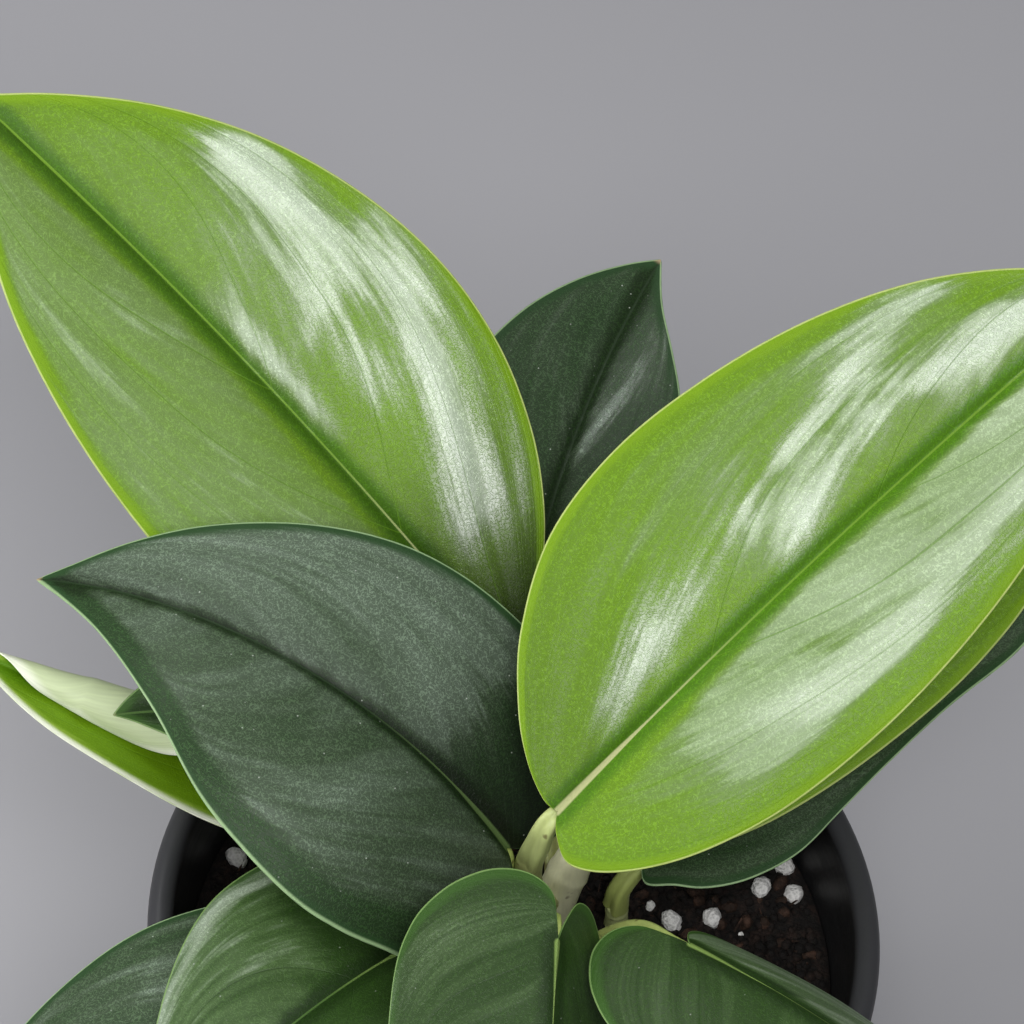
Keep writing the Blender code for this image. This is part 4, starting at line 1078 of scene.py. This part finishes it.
def scatter(name, bed, recipe, values, material):
    """Adds what a scatter tree makes on a bed mesh, as a plain piece of its own."""
    tree, sockets = recipe
    carrier = bpy.data.objects.new(f"{name}_bed", bed)
    bpy.context.scene.collection.objects.link(carrier)
    modifier = carrier.modifiers.new("Scatter", "NODES")
    modifier.node_group = tree
    for label, value in values.items():
        modifier[sockets[label]] = value
    modifier[sockets["Material"]] = material
    mesh = evaluated_mesh(carrier)
    bpy.data.objects.remove(carrier, do_unlink=True)
    mesh.name = name
    mesh.materials.clear()
    ride(new_object(name, mesh, [material]), "potting_soil")


def soil_bed(name, inner, outer):
    """The soil's open top between two radii, as a ring of faces."""
    bed = bpy.data.meshes.new(name)
    work = bmesh.new()
    angles = np.linspace(0, 2 * math.pi, 72, endpoint=False)
    rows = [[work.verts.new((r * math.cos(a), r * math.sin(a), soil_height(r * math.cos(a), r * math.sin(a))))
             for a in angles] for r in np.linspace(inner, outer, 16)]
    for first, second in zip(rows, rows[1:]):
        for i in range(len(first)):
            follow = (i + 1) % len(first)
            work.faces.new((first[i], second[i], second[follow], first[follow]))
    work.to_mesh(bed)
    work.free()
    return bed


def soil_body(edge):
    """The fill of peat, whose top is uneven and meets the wall level."""
    profile = [(r, SOIL_TOP) for r in np.linspace(0.0, edge, 45)]
    profile += [(wall_radius(height) - WALL - SOIL_GAP, height) for height in (0.070, 0.006)]
    profile += [(wall_radius(0.003) - WALL - SOIL_GAP - 0.001, SOIL_FOOT), (0.0, SOIL_FOOT)]
    mesh = turned("soil_body", profile)
    rng = np.random.default_rng(SOIL_SEED)
    for vertex in mesh.vertices:
        x, y, z = vertex.co
        if z > SOIL_TOP - 1e-4:
            fade = min(1.0, 6 * (1 - math.hypot(x, y) / edge))
            vertex.co.z = SOIL_TOP + fade * (soil_height(x, y) - SOIL_TOP + rng.uniform(-0.0003, 0.0003))
    return mesh


def grain_bed(edge):
    """Points on the soil for the perlite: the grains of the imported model, and smaller ones between."""
    rng = np.random.default_rng(GRAIN_SEED)
    spots = list(SHOWN_GRAINS)
    while len(spots) < GRAINS:
        radius = (edge - 0.003) * math.sqrt(rng.random())
        angle = 2 * math.pi * rng.random()
        place = (radius * math.cos(angle), radius * math.sin(angle))
        size = 0.9 if len(spots) < LARGE_GRAINS else 0.25 + 0.35 * rng.random()
        if min(math.dist(place, other[:2]) for other in spots) > GRAIN_GAP:
            spots.append((*place, size))
    bed = bpy.data.meshes.new("grain_spots")
    bed.from_pydata([(x, y, soil_height(x, y) + 0.0006) for x, y, _ in spots], [], [])
    sizes = bed.attributes.new("size", "FLOAT", "POINT")
    sizes.data.foreach_set("value", [size for _, _, size in spots])
    return bed


# Operators

class ScindapsusSettings(bpy.types.PropertyGroup):
    """Sizes and colours of the plant and its studio."""

    blade_thickness: bpy.props.FloatProperty(
        name="Blade thickness", description="Thickness of a leaf blade away from its midrib", default=0.0006,
        min=0.0002, max=0.0008, unit="LENGTH", precision=5)
    groove_depth: bpy.props.FloatProperty(
        name="Midrib groove depth", description="How deep the midrib lies in the upper face", default=0.0003,
        min=0.0, max=0.001, unit="LENGTH", precision=5)
    groove_width: bpy.props.FloatProperty(
        name="Midrib groove width", description="Half width of the midrib groove", default=0.0008,
        min=0.0003, max=0.003, unit="LENGTH", precision=5)
    pot_colour: bpy.props.FloatVectorProperty(
        name="Pot colour", description="Colour of the pot's plastic", default=linear("#171718")[:3],
        subtype="COLOR", min=0.0, max=1.0)
    floor_colour: bpy.props.FloatVectorProperty(
        name="Floor colour", description="Colour of the studio floor", default=linear("#afaeb2")[:3],
        subtype="COLOR", min=0.0, max=1.0)
    view_pitch: bpy.props.FloatProperty(
        name="View pitch", description="How far the camera looks down", default=math.radians(53.595),
        subtype="ANGLE")
    view_roll: bpy.props.FloatProperty(
        name="View roll", description="How far the camera leans to one side", default=math.radians(5.6),
        subtype="ANGLE")


class SCINDAPSUS_OT_leaves(bpy.types.Operator):
    """Builds the leaf blades, each with its veins, bloom, margin and lower face"""

    bl_idname = "scindapsus.leaves"
    bl_label = "Leaves"

    def execute(self, context):
        skins = {key: [blade_top(f"{key}_cuticle", finish), blade_under(f"{key}_lower_face", finish),
                       blade_edge(f"{key}_margin", finish)] for key, finish in FINISHES.items()}
        for name, leaf in LEAVES.items():
            mesh = blade_mesh(name, leaf, context.scene.scindapsus)
            ride(new_object(f"{name}_blade", mesh, skins[leaf.skin or leaf.finish]), leaf.finish, name)
        return {"FINISHED"}


class SCINDAPSUS_OT_stems(bpy.types.Operator):
    """Builds the stems and the leaf stalks that grow from them"""

    bl_idname = "scindapsus.stems"
    bl_label = "Stems"

    def execute(self, context):
        material = stem_tissue()
        for name, stem in STEMS.items():
            make_stem(name, stem, material)
        return {"FINISHED"}


class SCINDAPSUS_OT_pot(bpy.types.Operator):
    """Turns the round nursery pot and drills its drain holes"""

    bl_idname = "scindapsus.pot"
    bl_label = "Pot"

    def execute(self, context):
        plastic = pot_plastic(context.scene.scindapsus)
        pot = new_object("pot_shell", turned("pot_shell", pot_profile()), [plastic])
        drill_holes(pot)
        pot.data.shade_smooth()
        pot.data.set_sharp_from_angle(angle=math.radians(50))
        ride(pot, "pot_plastic", "pot")
        return {"FINISHED"}


class SCINDAPSUS_OT_soil(bpy.types.Operator):
    """Fills the pot with peat, and strews it with crumbs, fibres and perlite"""

    bl_idname = "scindapsus.soil"
    bl_label = "Soil"

    def execute(self, context):
        edge = wall_radius(SOIL_TOP) - WALL - TOP_GAP
        peat = soil_mix("damp_peat", "#0c0806", "#291c16", 0.85)
        bark = soil_mix("composted_bark", "#25180f", "#523a2e", 0.8)
        ride(new_object("soil_body", soil_body(edge), [peat]), "potting_soil", "soil")
        crumbs = scatter_tree("scatter_crumbs", at_points=False)
        for name, density, size, length, seed, material in (
                ("soil_crumbs", 420000.0, 0.00075, 1.3, 3, peat),
                ("soil_bark", 26000.0, 0.0009, 1.9, 5, bark),
                ("soil_fibres", 16000.0, 0.00022, 13.0, 8, bark)):
            scatter(name, soil_bed(name, 0.001, edge - 0.0012), crumbs,
                    {"Density": density, "Size": size, "Length": length, "Seed": seed}, material)
        scatter("soil_perlite", grain_bed(edge), scatter_tree("scatter_grains", at_points=True),
                {"Size": 0.00165, "Length": 1.2, "Seed": 2}, perlite())
        return {"FINISHED"}


class SCINDAPSUS_OT_stage(bpy.types.Operator):
    """Sets up the pale floor, the soft studio lights and the camera"""

    bl_idname = "scindapsus.stage"
    bl_label = "Stage"

    def execute(self, context):
        self.add_floor(context.scene)
        self.add_lights(context.scene)
        self.add_camera(context.scene)
        return {"FINISHED"}

    def add_floor(self, scene):
        """A wide sheet just under the pot's foot."""
        material, tree = new_material("studio_floor")
        close_material(tree, {"Base Color": (*scene.scindapsus.floor_colour, 1.0), "Roughness": 0.9})
        mesh = bpy.data.meshes.new("studio_floor")
        corners = [(x, y, -0.0002) for x, y in ((-4, -4), (4, -4), (4, 4), (-4, 4))]
        mesh.from_pydata(corners, [], [(0, 1, 2, 3)])
        new_object("studio_floor", mesh, [material])

    def add_lights(self, scene):
        """Four softboxes that face the plant, and a dim bluish air."""
        world = bpy.data.worlds.new("studio_air")
        world.use_nodes = True
        air = world.node_tree.nodes["Background"].inputs
        air["Color"].default_value = (0.93, 0.96, 1.0, 1.0)
        air["Strength"].default_value = 0.20
        scene.world = world
        aim = Vector(LIGHT_AIM)
        # Each light as its compass and height angle seen from the plant, its distance, width and power
        for name, compass, height, distance, size, power in (
                ("softbox_front", -80, 59, 1.0, 0.42, 5.1), ("softbox_back", 125, 60, 1.2, 0.45, 2.6),
                ("softbox_left", 196, 24, 0.6, 0.30, 1.5), ("softbox_low", 214, 38, 0.80, 0.50, 1.2)):
            turn, lean = math.radians(compass), math.radians(height)
            place = aim + distance * Vector((
                math.cos(lean) * math.cos(turn), math.cos(lean) * math.sin(turn), math.sin(lean)))
            light = bpy.data.lights.new(name, "AREA")
            light.shape = "SQUARE"
            light.size = size
            light.energy = power
            lamp = bpy.data.objects.new(name, light)
            scene.collection.objects.link(lamp)
            lamp.location = place
            lamp.rotation_euler = (aim - place).to_track_quat("-Z", "Y").to_euler()

    def add_camera(self, scene):
        """The photograph's view: a long lens that looks down on the plant and leans a little."""
        pitch, roll = scene.scindapsus.view_pitch, scene.scindapsus.view_roll
        forward = Vector((0.0, math.cos(pitch), -math.sin(pitch)))
        level = Vector((1.0, 0.0, 0.0))
        upright = level.cross(forward)
        right = level * math.cos(roll) + upright * math.sin(roll)
        up = upright * math.cos(roll) - level * math.sin(roll)
        camera = bpy.data.objects.new("photo_camera", bpy.data.cameras.new("photo_camera"))
        scene.collection.objects.link(camera)
        turn = Matrix((right, up, -forward)).transposed()
        camera.matrix_world = Matrix.Translation(CAMERA_PLACE) @ turn.to_4x4()
        camera.data.lens = CAMERA_LENS
        camera.data.sensor_width = CAMERA_SENSOR
        camera.data.clip_start = 0.01
        scene.camera = camera
        scene.view_settings.view_transform = "Standard"


class SCINDAPSUS_PT_panel(bpy.types.Panel):
    """Lists the plant's settings and the steps that build it"""

    bl_idname = "SCINDAPSUS_PT_panel"
    bl_label = "Potted scindapsus"
    bl_space_type = "VIEW_3D"
    bl_region_type = "UI"
    bl_category = "Scindapsus"

    def draw(self, context):
        for name in ScindapsusSettings.__annotations__:
            self.layout.prop(context.scene.scindapsus, name)
        for operator in OPERATORS:
            self.layout.operator(operator.bl_idname)


OPERATORS = (SCINDAPSUS_OT_pot, SCINDAPSUS_OT_soil, SCINDAPSUS_OT_stems, SCINDAPSUS_OT_leaves,
             SCINDAPSUS_OT_stage)
CLASSES = (ScindapsusSettings, *OPERATORS, SCINDAPSUS_PT_panel)


def register():
    for cls in CLASSES:
        bpy.utils.register_class(cls)
    bpy.types.Scene.scindapsus = bpy.props.PointerProperty(type=ScindapsusSettings)


def unregister():
    del bpy.types.Scene.scindapsus
    for cls in reversed(CLASSES):
        bpy.utils.unregister_class(cls)


def main():
    register()
    bpy.ops.scindapsus.pot()
    bpy.ops.scindapsus.soil()
    bpy.ops.scindapsus.stems()
    bpy.ops.scindapsus.leaves()
    bpy.ops.scindapsus.stage()


if __name__ == "__main__":
    main()
